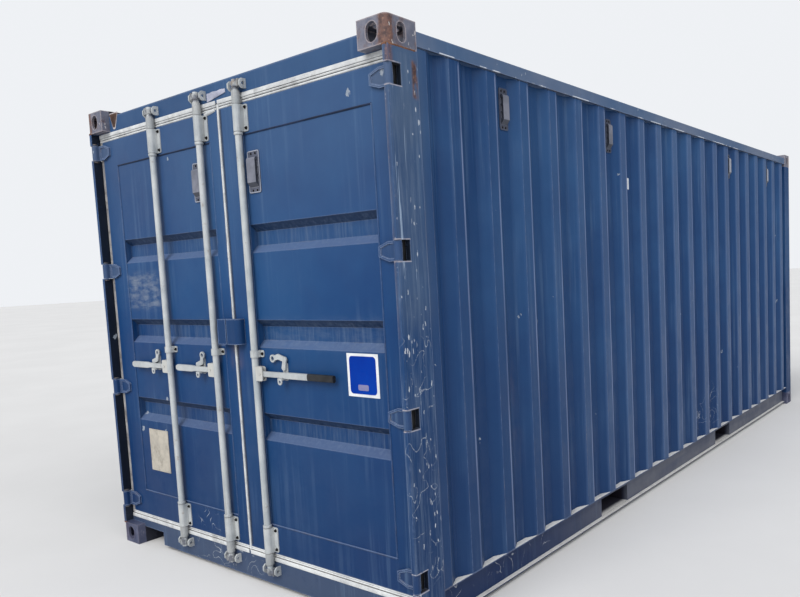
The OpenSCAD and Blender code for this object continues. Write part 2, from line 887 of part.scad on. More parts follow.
// End of a rod above a tall guide: sleeve, cone and cam with a lobe towards dir
module rod_end(dir) {
    cone_h = 10;
    sleeve_h = cam_reach - cam_h / 2 - cone_h - sleeve_start;
    cam_low = cam_h * 0.22;
    cam_high = cam_h * 0.78;
    translate([0, 0, sleeve_start]) cylinder(r = sleeve_r, h = sleeve_h);
    translate([0, 0, sleeve_start + sleeve_h]) cylinder(r1 = sleeve_r, r2 = rod_r - 2, h = cone_h);
    translate([0, 0, cam_reach - cam_h / 2]) {
        cylinder(r = rod_r - 2, h = cam_h);
        translate([0, 0, cam_low]) linear_extrude(cam_high - cam_low) {
            circle(r = cam_r);
            polygon([[0, -cam_r * 0.8], [dir * cam_lobe, -lobe_w / 2],
                [dir * cam_lobe, lobe_w / 2], [0, cam_r * 0.8]]);
        }
        translate([min(dir * cam_lobe, dir * (cam_lobe - 10)), -lobe_w / 2, cam_high - eps])
            cube([10, lobe_w, cam_h - cam_high + eps]);
        translate([0, 0, cam_high]) cylinder(r = cam_r - 4, h = cam_h - cam_high);
    }
}

// Clevis welded to a rod, open towards dir, with the handle's pivot pin
module handle_hub(dir) {
    cheek_t = 5;
    cheek_gap = 1;
    corner_r = 10;
    reach = pivot_reach + 20;
    inner = bar_t / 2 + cheek_gap;
    mirror([dir < 0 ? 1 : 0, 0, 0]) {
        for (y = [-inner, inner + cheek_t])
            rounded_plate(reach / 2, y, 0, reach, hub_h, corner_r, cheek_t);
        for (s = [-1, 1])
            box([0, -inner - cheek_t, min(s * hub_h / 2, s * (hub_h / 2 - cheek_t))],
                [pivot_reach + 6, inner + cheek_t, max(s * hub_h / 2, s * (hub_h / 2 - cheek_t))]);
        translate([pivot_reach, -inner - cheek_t - 3, 0]) rotate([-90, 0, 0])
            cylinder(r = pivot_r, h = 2 * (inner + cheek_t + 3));
    }
}

// Lock rod at x with collars, cams and a handle hub towards side dir
module lock_rod(x, dir) {
    collar_h = 9;
    collar_r = rod_r + 3;
    inner_z = guide_inset + guide_h + collar_gap;
    translate([x, rod_y, 0]) {
        translate([0, 0, rod_z0]) cylinder(r = rod_r - 2, h = rod_z1 - rod_z0);
        translate([0, 0, door_z0 - sleeve_start])
            cylinder(r = rod_r, h = door_z1 - door_z0 + 2 * sleeve_start);
        translate([0, 0, door_z0 + inner_z]) cylinder(r = collar_r, h = collar_h);
        translate([0, 0, door_z1 - inner_z - collar_h]) cylinder(r = collar_r, h = collar_h);
        translate([0, 0, door_z1]) rod_end(dir);
        translate([0, 0, door_z0]) mirror([0, 0, 1]) rod_end(dir);
        translate([0, 0, handle_z]) handle_hub(dir);
    }
}

module left_outer_rod() {
    color("gainsboro") lock_rod(outer_rod_x, -1);
}

module left_inner_rod() {
    color("gainsboro") lock_rod(inner_rod_x, -1);
}

module right_rod() {
    color("gainsboro") lock_rod(right_rod_x, 1);
}

// Handle bar of a rod, flat in the plane of the doors, with a flared end
module handle_bar(x, dir, reach, tip_h) {
    neck = pivot_reach + (reach - pivot_reach) * 0.45;
    flare = neck + 34;
    translate([x, rod_y + bar_t / 2, handle_z]) rotate([90, 0, 0])
        mirror([dir < 0 ? 1 : 0, 0, 0]) linear_extrude(bar_t) difference() {
            union() {
                translate([pivot_reach, 0]) circle(d = bar_h);
                polygon([[pivot_reach, -bar_h / 2], [neck, -bar_h / 2], [flare, -tip_h / 2],
                    [reach - tip_h / 2, -tip_h / 2], [reach, -tip_h / 4], [reach, tip_h / 4],
                    [reach - tip_h / 2, tip_h / 2], [flare, tip_h / 2], [neck, bar_h / 2],
                    [pivot_reach, bar_h / 2]]);
            }
            translate([pivot_reach, 0]) circle(r = pivot_r + pin_clear);
        }
}

module left_outer_handle() {
    color("silver") handle_bar(outer_rod_x, -1, outer_handle_l, bar_h + 8);
}

module left_inner_handle() {
    color("silver") handle_bar(inner_rod_x, -1, inner_handle_l, bar_h + 8);
}

module right_handle() {
    reach = right_handle_l - grip_l;
    color("silver") difference() {
        handle_bar(right_rod_x, 1, reach + bar_h, bar_h + 4);
        box([right_rod_x + reach, rod_y - bar_t, handle_z - bar_h],
            [right_rod_x + reach + 2 * bar_h, rod_y + bar_t, handle_z + bar_h]);
    }
}

module right_handle_grip() {
    grip_h = 34;
    grip_t = 20;
    x0 = right_rod_x + right_handle_l - grip_l;
    color("black") translate([x0, rod_y, handle_z]) rotate([0, 90, 0])
        linear_extrude(grip_l) {
            square([grip_h - grip_t, grip_t], center = true);
            for (s = [-1, 1]) translate([s * (grip_h - grip_t) / 2, 0]) circle(d = grip_t);
        }
}

// Flat arm of width w through points, with a round joint at all but the last
module flat_arm(points, w) {
    last = len(points) - 1;
    for (i = [0:last - 1]) translate(points[i]) {
        run = points[i + 1] - points[i];
        circle(d = w + 2);
        rotate(atan2(run[1], run[0])) translate([0, -w / 2]) square([norm(run), w]);
    }
}

// Seat under a handle bar, with a ringed lug in front and a swinging catch behind;
// the catch turns on a boss and ends in an eye, through points round the handle
module handle_retainer(x, catch) {
    boss_z = 34;
    seat_gap = 1;
    seat_top = handle_z - bar_h / 2 - seat_gap;
    front = rod_y - bar_t / 2 - 5;
    lug_w = 30;
    ring_z = seat_top - 17;
    arm_t = 7.5;
    arm_back = rod_y + bar_t / 2 + 5.5 + arm_t;
    arm_w = 25;
    eye_r = 19;
    last = len(catch) - 1;
    rounded_plate(x, panel_face, handle_z + 14, 34, 84, 8, plate_t);
    box([x - lug_w / 2, front - 5, seat_top - 9], [x + lug_w / 2, panel_face, seat_top]);
    translate([x, front, 0]) rotate([90, 0, 0]) linear_extrude(5) difference() {
        union() {
            translate([-lug_w / 2, ring_z]) square([lug_w, seat_top - ring_z]);
            translate([0, ring_z]) circle(d = lug_w);
        }
        translate([0, ring_z]) circle(r = 7);
    }
    translate([x, panel_face, handle_z]) rotate([90, 0, 0]) {
        translate([0, boss_z, 0]) cylinder(r = 7, h = panel_face - arm_back + arm_t + 1);
        translate([0, 0, panel_face - arm_back]) linear_extrude(arm_t) difference() {
            union() {
                flat_arm(catch, arm_w);
                translate(catch[last]) circle(r = eye_r);
            }
            translate(catch[last]) circle(r = eye_r - 8);
        }
    }
}

module left_handle_retainers() {
    catch = [[-40, 20], [0, 34], [8, 72]];
    color("gainsboro") for (x = [outer_rod_x, inner_rod_x])
        handle_retainer(x - left_retainer_x, catch);
}

module right_handle_retainer() {
    catch = [[0, 34], [10, 74], [-38, 86], [-80, 76]];
    color("gainsboro") handle_retainer(right_rod_x + right_retainer_x, catch);
}

// Ventilator on a door panel
module door_vent(x) {
    color("gray") translate([x, panel_face, height - door_vent_drop]) rotate([90, 0, 0])
        vent_cover(vent_w);
}

module left_door_vent() {
    door_vent(inner_rod_x - rod_r - 8 - vent_w / 2);
}

module right_door_vent() {
    door_vent(right_rod_x + rod_r + 8 + vent_w / 2);
}

module left_data_plate() {
    t = 2;
    x = left_window[0] + plate_side;
    z = door_z0 + door_rail_h + plate_rise;
    color("wheat") box([x, door_face - t, z], [x + plate_w, panel_face, z + plate_h]);
}

// Plan of the lock box, shrunk by inset, with its right front corner rounded
module lock_box_plan(inset) {
    depth = 45;
    r = lock_box_r - inset;
    x1 = lock_box_right - inset;
    y0 = door_face - depth + inset;
    difference() {
        rect([-lock_box_left + inset, y0], [x1, door_face]);
        rect([x1 - r, y0 - eps], [x1 + eps, y0 + r]);
    }
    translate([x1 - r, y0 + r]) circle(r = r);
}

// Half of the lock box between two places across the container, open below
module lock_box_half(x0, x1) {
    wall = 5;
    translate([0, 0, lock_box_z]) difference() {
        linear_extrude(lock_box_h) intersection() {
            lock_box_plan(0);
            rect([x0, rear], [x1, door_face]);
        }
        translate([0, 0, -eps]) linear_extrude(lock_box_h - wall + eps) intersection() {
            lock_box_plan(wall);
            rect([x0 + wall, rear], [x1 - wall, door_face]);
        }
    }
}

module left_lock_box() {
    color(blue) lock_box_half(-lock_box_left, left_seam);
}

module right_lock_box() {
    color(blue) lock_box_half(left_seam + door_clear + 2, lock_box_right);
}

// Lugs beside the cams, open to the front, each with a round hole
module rod_keepers() {
    lug_x = cam_lobe + keeper_gap;
    slant = 12;
    color("gainsboro") for (x = [outer_rod_x, inner_rod_x, right_rod_x])
        for (z = [rod_z0, rod_z1 - cam_h]) for (s = [-1, 1])
            translate([x + s * (lug_x + keeper_t / 2) - keeper_t / 2, door_face, z])
                rotate([90, 0, 90]) linear_extrude(keeper_t) difference() {
                    polygon([[0, 0], [0, cam_h], [slant - keeper_depth, cam_h],
                        [-keeper_depth, cam_h - slant], [-keeper_depth, slant],
                        [slant - keeper_depth, 0]]);
                    translate([-keeper_depth / 2, cam_h / 2]) circle(r = keeper_hole_r);
                }
}

top_corner_castings();
bottom_corner_castings();
left_rear_post();
right_rear_post();
front_corner_posts();
rear_header();
rear_sill();
front_end_beams();
top_side_rails();
left_bottom_rail();
right_bottom_rail();
left_side_wall();
right_side_wall();
front_wall();
roof_panel();
floor_boards();
cross_members();
forklift_pockets();
hinge_pins();
rod_keepers();
wall_vents();
left_door_frame();
left_door_panel();
left_door_gasket();
left_hinge_blades();
left_rod_guides();
left_handle_retainers();
left_door_vent();
left_data_plate();
left_lock_box();
right_door_frame();
right_door_panel();
right_door_gasket();
right_hinge_blades();
right_rod_guides();
right_handle_retainer();
right_door_vent();
right_lock_box();
left_outer_rod();
left_inner_rod();
right_rod();
left_outer_handle();
left_inner_handle();
right_handle();
right_handle_grip();
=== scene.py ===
import json
import math

import bmesh
import bpy
from mathutils import Matrix, Vector


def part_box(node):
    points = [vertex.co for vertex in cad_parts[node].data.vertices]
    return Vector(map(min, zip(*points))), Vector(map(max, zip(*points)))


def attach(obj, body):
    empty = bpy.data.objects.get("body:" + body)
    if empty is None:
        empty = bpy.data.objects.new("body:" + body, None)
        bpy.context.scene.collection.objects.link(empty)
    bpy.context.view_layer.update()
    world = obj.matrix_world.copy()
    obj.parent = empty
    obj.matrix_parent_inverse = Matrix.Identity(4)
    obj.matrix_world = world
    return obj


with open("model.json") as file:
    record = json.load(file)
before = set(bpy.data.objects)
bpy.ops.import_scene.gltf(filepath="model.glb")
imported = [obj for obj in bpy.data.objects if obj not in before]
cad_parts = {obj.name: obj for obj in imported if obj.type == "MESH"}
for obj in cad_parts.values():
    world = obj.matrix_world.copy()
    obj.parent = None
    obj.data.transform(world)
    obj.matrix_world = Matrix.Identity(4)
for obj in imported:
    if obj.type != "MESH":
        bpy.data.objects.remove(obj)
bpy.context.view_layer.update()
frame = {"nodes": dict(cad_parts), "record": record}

# Places on the container, in metres
HALF_W = 1.219
REAR = -3.029
CASTING_L = 0.178
CASTING_H = 0.118
TOP = 2.591
DOOR_FACE = -2.981
PANEL_FACE = -2.9795
SEAL_FACE = -2.975
ROD_Y = -3.007
ROD_R = 0.0165
ROD_MIDDLE = 1.3045
HANDLE_Z = 1.112
RODS = {"left_outer": -0.577, "left_inner": -0.131, "right": 0.200}
DOOR_OF = {"left_outer": "left_door", "left_inner": "left_door", "right": "right_door"}
GUIDE_HOLES = (-0.037, 0.037)
GUIDE_HOLE_Z = (0.212, 0.310, 2.299, 2.397)
STRAP_Z = 1.208
HINGE_Z = (0.265, 0.964, 1.663, 2.362)
PIN = (1.199, -3.009)
LUG_HALF = 0.050
WALL_FACE = 1.213
WALL_DEPTH = 0.036
WALL_PITCH = 0.2802
WALL_END = 2.851
FRONT_WALL = 2.93
WALL_VENT_Y = (-2.1817, -1.0609, 1.1807, 2.3015)


# ---------------------------------------------------------------- camera
def place_camera():
    """Camera where the photograph was taken, slightly turned about its axis"""
    yaw, pitch, roll = 0.653424, 0.0882285, -0.0474627
    level = math.cos(pitch)
    look = Vector((-math.sin(yaw) * level, math.cos(yaw) * level, -math.sin(pitch)))
    side = look.cross(Vector((0, 0, 1))).normalized()
    up = side.cross(look)
    turned_side = side * math.cos(roll) + up * math.sin(roll)
    turned_up = up * math.cos(roll) - side * math.sin(roll)
    data = bpy.data.cameras.new("view")
    data.lens = 36 * 730.2 / 800
    data.shift_x = -71.73 / 800
    data.shift_y = 35.40 / 800
    data.clip_end = 200
    camera = bpy.data.objects.new("view", data)
    bpy.context.collection.objects.link(camera)
    turn = Matrix((turned_side, turned_up, -look)).transposed().to_4x4()
    camera.matrix_world = Matrix.Translation((3.23206, -5.19987, 1.57341)) @ turn
    bpy.context.scene.camera = camera


def sky_light(name, towards, strength, spread, colour):
    """Broad even light that comes from a direction, like a part of a cloudy sky"""
    data = bpy.data.lights.new(name, "SUN")
    data.energy = strength
    data.angle = spread
    data.color = colour
    lamp = bpy.data.objects.new(name, data)
    bpy.context.collection.objects.link(lamp)
    lamp.location = Vector(towards) * 12
    lamp.rotation_euler = (-Vector(towards)).to_track_quat("-Z", "Y").to_euler()


def light_studio():
    sky_light("sky_front", (0.08, -0.74, 0.66), 2.40, 0.75, (1.0, 0.99, 0.97))
    sky_light("sky_side", (0.80, -0.16, 0.58), 1.35, 1.1, (0.97, 0.98, 1.0))
    sky_light("sky_left", (-0.60, -0.60, 0.53), 0.45, 1.3, (1.0, 1.0, 1.0))
    world = bpy.data.worlds.new("studio")
    bpy.context.scene.world = world
    world.use_nodes = True
    tree = world.node_tree
    tree.nodes.clear()
    r = Recipe(tree)
    room, seen = r.node("Background"), r.node("Background")
    for part, tone, strength in ((room, (0.80, 0.86, 0.95, 1), 0.36),
                                 (seen, (0.86, 0.88, 0.91, 1), 1.0)):
        part.inputs["Color"].default_value = tone
        part.inputs["Strength"].default_value = strength
    ray = r.node("LightPath").outputs
    direct = r.maths("MAXIMUM", ray["Is Camera Ray"], ray["Is Transmission Ray"])
    mix = r.node("MixShader")
    for index, item in enumerate((direct, room.outputs[0], seen.outputs[0])):
        r.feed(mix.inputs[index], item)
    r.feed(r.node("OutputWorld").inputs["Surface"], mix.outputs[0])


# ---------------------------------------------------------------- node helpers
def srgb(r, g, b):
    """Linear colour of a screen colour given from 0 to 255"""
    def line(c):
        c /= 255
        return c / 12.92 if c <= 0.04045 else ((c + 0.055) / 1.055) ** 2.4
    return (line(r), line(g), line(b), 1.0)


class Recipe:
    """Builds nodes in one tree, from left to right"""

    def __init__(self, tree):
        self.tree = tree
        self.column = 0

    def node(self, kind, **settings):
        made = self.tree.nodes.new("ShaderNode" + kind)
        made.location = (self.column * 180, -(self.column % 5) * 160)
        self.column += 1
        for key, value in settings.items():
            setattr(made, key, value)
        return made

    def feed(self, socket, value):
        if isinstance(value, bpy.types.NodeSocket):
            self.tree.links.new(value, socket)
        else:
            socket.default_value = value

    def maths(self, operation, a, b=0.0):
        made = self.node("Math", operation=operation)
        self.feed(made.inputs[0], a)
        self.feed(made.inputs[1], b)
        return made.outputs[0]

    def minus(self, a, b):
        return self.maths("SUBTRACT", a, b)

    def absolute(self, value):
        return self.maths("ABSOLUTE", value)

    def over(self, a, b):
        return self.maths("GREATER_THAN", a, b)

    def short(self, a, b):
        return self.maths("LESS_THAN", a, b)

    def plus(self, a, b):
        return self.maths("ADD", a, b)

    def times(self, *factors):
        total = factors[0]
        for factor in factors[1:]:
            total = self.maths("MULTIPLY", total, factor)
        return total

    def ramp(self, value, low, high, start=0.0, end=1.0):
        made = self.node("MapRange", interpolation_type="SMOOTHSTEP")
        for index, item in enumerate((value, low, high, start, end)):
            self.feed(made.inputs[index], item)
        return made.outputs[0]

    def blend(self, factor, a, b):
        made = self.node("Mix", data_type="RGBA")
        self.feed(made.inputs["Factor"], factor)
        self.feed(made.inputs[6], a)
        self.feed(made.inputs[7], b)
        return made.outputs[2]

    def tint(self, colour, mask, strength, tone):
        """The colour with a screen colour over it where the mask is"""
        return self.blend(self.times(mask, strength), colour, srgb(*tone))

    def between(self, factor, a, b):
        made = self.node("Mix", data_type="FLOAT")
        self.feed(made.inputs["Factor"], factor)
        self.feed(made.inputs[2], a)
        self.feed(made.inputs[3], b)
        return made.outputs[0]

    def place(self, stretch=None):
        """Object coordinates, stretched if asked"""
        coords = self.node("TexCoord").outputs["Object"]
        if stretch is None:
            return coords
        mapping = self.node("Mapping")
        self.feed(mapping.inputs["Vector"], coords)
        self.feed(mapping.inputs["Scale"], stretch)
        return mapping.outputs[0]

    def noise(self, where, scale, detail=4.0, rough=0.55, twist=0.0):
        made = self.node("TexNoise")
        self.feed(made.inputs["Vector"], where)
        self.feed(made.inputs["Scale"], scale)
        self.feed(made.inputs["Detail"], detail)
        self.feed(made.inputs["Roughness"], rough)
        self.feed(made.inputs["Distortion"], twist)
        return made.outputs["Fac"]

    def grain(self, scale, detail=4.0, rough=0.55, stretch=None):
        return self.noise(self.place(stretch), scale, detail, rough)

    def xyz(self, vector):
        made = self.node("SeparateXYZ")
        self.feed(made.inputs[0], vector)
        return made.outputs

    def here(self):
        """The three object coordinates"""
        return self.xyz(self.place())

    def facing(self):
        return self.xyz(self.node("NewGeometry").outputs["Normal"])

    def vector(self, x, y, z):
        made = self.node("CombineXYZ")
        for index, item in enumerate((x, y, z)):
            self.feed(made.inputs[index], item)
        return made.outputs[0]

    def group(self, effect, **values):
        made = self.node("Group")
        made.node_tree = effect
        for key, value in values.items():
            self.feed(made.inputs[key.replace("_", " ").capitalize()], value)
        return made.outputs[0]


def effect(name, inputs, output, recipe):
    """Node group with named inputs and one output, made by a recipe"""
    tree = bpy.data.node_groups.new(name, "ShaderNodeTree")
    for label, kind, value in inputs:
        socket = tree.interface.new_socket(name=label, in_out="INPUT", socket_type=kind)
        socket.default_value = value
    kind = "NodeSocketColor" if output == "Color" else "NodeSocketFloat"
    tree.interface.new_socket(name=output, in_out="OUTPUT", socket_type=kind)
    source = tree.nodes.new("NodeGroupInput")
    sink = tree.nodes.new("NodeGroupOutput")
    r = Recipe(tree)
    tree.links.new(recipe(r, source.outputs), sink.inputs[0])
    return tree


FLOAT, VECTOR = "NodeSocketFloat", "NodeSocketVector"


def rain_streaks(r, get):
    """Thin runs down a face, broken up by larger patches"""
    flat = r.vector(get["Width"], get["Width"], get["Length"])
    runs = r.noise(r.place(flat), 1.0, 5.0, 0.62)
    broken = r.grain(1.7, 2.0, 0.5)
    fine = r.ramp(runs, get["Start"], r.plus(get["Start"], 0.16))
    return r.times(fine, r.ramp(broken, 0.38, 0.66))


def cloudy_patches(r, get):
    """Slow change of tone over a face"""
    return r.ramp(r.grain(get["Size"], 5.0, 0.6), 0.34, 0.68)


def worn_edges(r, get):
    """Light line along edges, uneven in width"""
    rounded = r.node("Bevel", samples=4)
    r.feed(rounded.inputs["Radius"], get["Width"])
    normal = r.node("NewGeometry").outputs["Normal"]
    compare = r.node("VectorMath", operation="DOT_PRODUCT")
    r.feed(compare.inputs[0], rounded.outputs[0])
    r.feed(compare.inputs[1], normal)
    off = r.minus(1.0, compare.outputs["Value"])
    uneven = r.grain(26.0, 5.0, 0.7)
    start = r.times(r.ramp(uneven, 0.25, 0.75, 0.2, 2.2), get["Start"])
    return r.ramp(off, start, r.times(start, 4.0))


def paint_chips(r, get):
    """Small flecks, longer than wide, thick in some places and rare in others"""
    cells = r.node("TexVoronoi", feature="F1")
    wobble = r.grain(60.0, 2.0)
    upright = r.maths("DIVIDE", get["Size"], get["Stretch"])
    where = r.place(r.vector(get["Size"], get["Size"], upright))
    bent = r.node("VectorMath", operation="ADD")
    r.feed(bent.inputs[0], where)
    r.feed(bent.inputs[1], wobble)
    r.feed(cells.inputs["Vector"], bent.outputs[0])
    r.feed(cells.inputs["Scale"], 1.0)
    pick = r.node("SeparateColor")
    r.feed(pick.inputs[0], cells.outputs["Color"])
    chosen = r.over(pick.outputs[0], r.minus(1.0, get["Amount"]))
    reach = r.times(pick.outputs[1], 0.34)
    spot = r.short(cells.outputs["Distance"], reach)
    return r.times(chosen, spot)


def rust_tone(r, get):
    """Brown to orange rust"""
    coarse = r.grain(34.0, 6.0, 0.7)
    deep = r.blend(r.ramp(coarse, 0.35, 0.6), srgb(66, 46, 42), srgb(110, 78, 66))
    return r.blend(r.ramp(r.grain(90.0, 4.0), 0.55, 0.75), deep, srgb(152, 112, 90))


def chalk_lines(r, get):
    """Loose looping lines, as left by a piece of chalk"""
    field = r.noise(r.place(r.vector(get["Size"], get["Size"], get["Size"])), 1.0, 0.0, 0.5, 0.8)
    off = r.absolute(r.minus(field, 0.5))
    line = r.ramp(off, get["Width"], r.times(get["Width"], 2.2), 1.0, 0.0)
    grain = r.ramp(r.grain(160.0, 3.0), 0.36, 0.58)
    gap = r.ramp(r.grain(9.0, 1.0), 0.44, 0.56)
    return r.times(line, grain, gap)


def inside_box(r, get):
    """One within a box in object coordinates, fading at its sides"""
    here, low, high = r.here(), r.xyz(get["Low"]), r.xyz(get["High"])
    soft = get["Soft"]
    parts = []
    for axis in range(3):
        up = r.ramp(here[axis], r.minus(low[axis], soft), r.plus(low[axis], soft))
        down = r.ramp(here[axis], r.minus(high[axis], soft),
                      r.plus(high[axis], soft), 1.0, 0.0)
        parts += [up, down]
    return r.times(*parts)


def small_relief(r, get):
    """Shallow dents and the grain of sprayed paint"""
    dents = r.grain(4.5, 2.0, 0.5)
    grain = r.grain(420.0, 2.0, 0.5)
    return r.plus(r.times(dents, get["Dents"]), r.times(grain, get["Grain"]))


EFFECTS = {
    "streaks": effect("Rain streaks", [("Width", FLOAT, 24.0), ("Length", FLOAT, 0.7),
                                       ("Start", FLOAT, 0.55)], "Mask", rain_streaks),
    "patches": effect("Cloudy patches", [("Size", FLOAT, 1.2)], "Mask", cloudy_patches),
    "edges": effect("Worn edges", [("Width", FLOAT, 0.008), ("Start", FLOAT, 0.02)],
                    "Mask", worn_edges),
    "chips": effect("Paint chips", [("Size", FLOAT, 30.0), ("Stretch", FLOAT, 2.0),
                                    ("Amount", FLOAT, 0.05)], "Mask", paint_chips),
    "rust": effect("Rust tone", [], "Color", rust_tone),
    "chalk": effect("Chalk lines", [("Size", FLOAT, 9.0), ("Width", FLOAT, 0.006)],
                    "Mask", chalk_lines),
    "box": effect("Inside box", [("Low", VECTOR, (0, 0, 0)), ("High", VECTOR, (1, 1, 1)),
                                 ("Soft", FLOAT, 0.02)], "Mask", inside_box),
    "relief": effect("Small relief", [("Dents", FLOAT, 1.0), ("Grain", FLOAT, 0.03)],
                     "Height", small_relief),
}


def start_material(name):
    material = bpy.data.materials.new(name)
    material.use_nodes = True
    tree = material.node_tree
    tree.nodes.clear()
    r = Recipe(tree)
    shader = r.node("BsdfPrincipled")
    out = r.node("OutputMaterial")
    tree.links.new(shader.outputs[0], out.inputs["Surface"])
    return material, r, shader


def raise_surface(r, shader, height, distance):
    bump = r.node("Bump")
    r.feed(bump.inputs["Height"], height)
    bump.inputs["Distance"].default_value = distance
    bump.inputs["Strength"].default_value = 1.0
    r.feed(shader.inputs["Normal"], bump.outputs[0])


def box_mask(r, low, high, soft=0.02):
    return r.group(EFFECTS["box"], low=low, high=high, soft=soft)


def paint(name, tone, faded, wear=0.5, chip_amount=0.03, streak=0.2, marks=(), inner=None,
          lift=0.0, underside_shade=0.6):
    """Old sprayed paint: faded clouds, pale runs, worn edges, chips and rust, with painted skylight
    mixed with dust on upward faces and painted shade on downward faces.
    marks are (kind, low, high, strength); inner is the colour of faces turned inwards;
    lift is how much paler the paint is towards the top, and the last argument is how dark the
    painted shade on the undersides is"""
    material, r, shader = start_material(name)
    cloud = r.group(EFFECTS["patches"], size=1.1)
    small_cloud = r.group(EFFECTS["patches"], size=5.5)
    colour = r.blend(r.times(cloud, 0.8), tone, faded)
    colour = r.blend(r.times(small_cloud, 0.2), colour, faded)
    height_here = r.here()[2]
    colour = r.blend(r.ramp(height_here, 0.0, 1.7, 0.68, 0.0), colour, srgb(0, 34, 77))
    colour = r.blend(r.ramp(height_here, 1.3, 2.4, 0.0, lift), colour, srgb(116, 130, 146))
    facing = r.facing()[2]
    # painted skylight together with dust: faces turned upwards are paled
    skylight_and_dust = r.ramp(facing, 0.10, 0.45, 0.0, 0.34)
    colour = r.blend(skylight_and_dust, colour, srgb(112, 126, 156))
    # painted shade: faces turned downwards are darkened towards deep navy
    colour = r.blend(r.ramp(facing, -0.45, -0.10, underside_shade, 0.0), colour, srgb(8, 18, 38))
    if inner is not None:
        colour = wall_folds(r, colour)
        colour = r.blend(inner_side(r), colour, inner)
    runs = r.group(EFFECTS["streaks"], width=30.0, length=0.8, start=0.50)
    colour = r.tint(colour, runs, streak, (102, 128, 158))
    for kind, low, high, strength in marks:
        soft, finish, mask = MARKS[kind]
        spread = box_mask(r, low, high, soft)
        mask = mask(r)
        finish = r.group(EFFECTS["rust"]) if kind == "rust" else srgb(*finish)
        colour = r.blend(r.times(spread, mask, strength), colour, finish)
    dark_chips = r.group(EFFECTS["chips"], size=24.0, stretch=1.3, amount=chip_amount)
    colour = r.tint(colour, dark_chips, 0.8, (150, 158, 168))
    edge = r.group(EFFECTS["edges"], width=0.007, start=0.011)
    worn = r.blend(r.ramp(r.grain(7.0, 4.0), 0.50, 0.62), srgb(112, 128, 158),
                   srgb(122, 122, 132))
    rubbed_edge = r.times(edge, wear, outer_part(r))
    colour = r.blend(rubbed_edge, colour, worn)
    r.feed(shader.inputs["Base Color"], colour)
    rough = r.ramp(small_cloud, 0.0, 1.0, 0.46, 0.62)
    r.feed(shader.inputs["Roughness"], r.between(edge, rough, 0.75))
    shader.inputs["Specular IOR Level"].default_value = 0.22
    relief = r.group(EFFECTS["relief"], dents=1.0, grain=0.02)
    height = r.minus(relief, r.times(dark_chips, 0.10))
    raise_surface(r, shader, height, 0.006)
    return material


def wall_folds(r, colour):
    """Painted light and shade on the side wall folds: a painted sheen pales the crests, more so
    towards the far end, a painted highlight line runs along each crest's far edge, and painted
    shade darkens the hollows
    """
    here = r.here()
    aside = r.absolute(here[0])
    wall = r.times(r.over(WALL_END, r.absolute(here[1])),
                   r.ramp(here[2], 0.17, 0.19), r.ramp(here[2], 2.46, 2.49, 1.0, 0.0))
    # painted sheen on the crests, growing towards the far end
    crest = r.times(wall, r.ramp(aside, 1.203, 1.2105), r.ramp(here[1], -2.4, -0.4, 0.05, 0.34))
    colour = r.blend(crest, colour, srgb(92, 114, 150))
    # painted highlight line along the far edge of each crest
    along = r.maths("FLOORED_MODULO", r.minus(here[1], WALL_VENT_Y[0]), WALL_PITCH)
    line = r.times(r.ramp(along, 0.166, 0.168), r.ramp(along, 0.1775, 0.1800, 1.0, 0.0))
    uneven = r.ramp(r.noise(r.place((6, 6, 1.2)), 1.5, 4.0), 0.30, 0.60, 0.35, 1.0)
    line = r.times(line, uneven, wall, r.ramp(aside, 1.206, 1.2105), 0.50)
    colour = r.blend(line, colour, srgb(140, 152, 184))
    # painted shade in the hollows
    hollow = r.times(wall, r.ramp(aside, 1.178, 1.188, 1.0, 0.0), r.ramp(aside, 1.170, 1.174), 0.22)
    return r.blend(hollow, colour, srgb(10, 42, 86))


def hinge_rims(r):
    """Bare edges above and below each notch of the hinges, which repeat up the post"""
    up = r.minus(r.here()[2], HINGE_Z[0])
    off = r.maths("PINGPONG", up, (HINGE_Z[1] - HINGE_Z[0]) / 2)
    band = r.times(r.ramp(off, 0.0420, 0.0432), r.ramp(off, 0.0470, 0.0490, 1.0, 0.0))
    return r.times(band, r.ramp(r.grain(40.0, 4.0), 0.30, 0.55))


def patchy(low, high, scale, detail=4.0, rough=0.55, stretch=None):
    """Maker of a mask that is one where a noise is high"""
    return lambda r: r.ramp(r.grain(scale, detail, rough, stretch), low, high)


def looped(size, width):
    return lambda r: r.group(EFFECTS["chalk"], size=size, width=width)


# Kinds of mark: how soft the sides of its box are, its tone, and its mask
MARKS = {
    "rim": (0.002, (184, 176, 178), hinge_rims),
    "scuff": (0.03, (130, 138, 150), patchy(0.35, 0.70, 4.0, 6.0, 0.7, (3, 3, 9))),
    "brushed": (0.008, (112, 128, 150), patchy(0.42, 0.74, 1.0, 6.0, 0.7, (55, 55, 3.5))),
    "brown": (0.03, (108, 86, 80), patchy(0.40, 0.70, 1.2, 5.0, 0.65, (9, 9, 2))),
    "chalk": (0.03, (205, 210, 214), looped(13.0, 0.0065)),
    "bold": (0.03, (214, 217, 220), looped(12.0, 0.010)),
    "bare": (0.001, (220, 224, 230), patchy(0.47, 0.55, 1.0, 4.0, 0.6, (1, 5, 1))),
    "scratch": (0.03, (186, 206, 228), patchy(0.655, 0.695, 1.0, 4.0, 0.6, (80, 80, 1.4))),
    "flecks": (0.03, (226, 230, 234),
               lambda r: r.group(EFFECTS["chips"], size=84.0, stretch=3.2, amount=0.13)),
    "rust": (0.010, None, patchy(0.36, 0.52, 1.0, 6.0, 0.7, (34, 34, 7))),
    # painted shade: a near-black band laid in gaps, notches and beneath overhangs
    "dirt_and_shade": (0.0015, (16, 18, 24), patchy(0.1, 0.4, 30.0)),
    "pale": (0.10, (96, 112, 130), patchy(0.1, 0.4, 30.0)),
}


def outer_part(r):
    """Zero in the hollows of the side walls, one elsewhere"""
    here = r.here()
    aside = r.absolute(here[0])
    hollow = r.times(r.ramp(aside, 1.14, 1.16), r.ramp(aside, 1.196, 1.208, 1.0, 0.0),
                     r.over(here[1], -2.85))
    return r.minus(1.0, hollow)


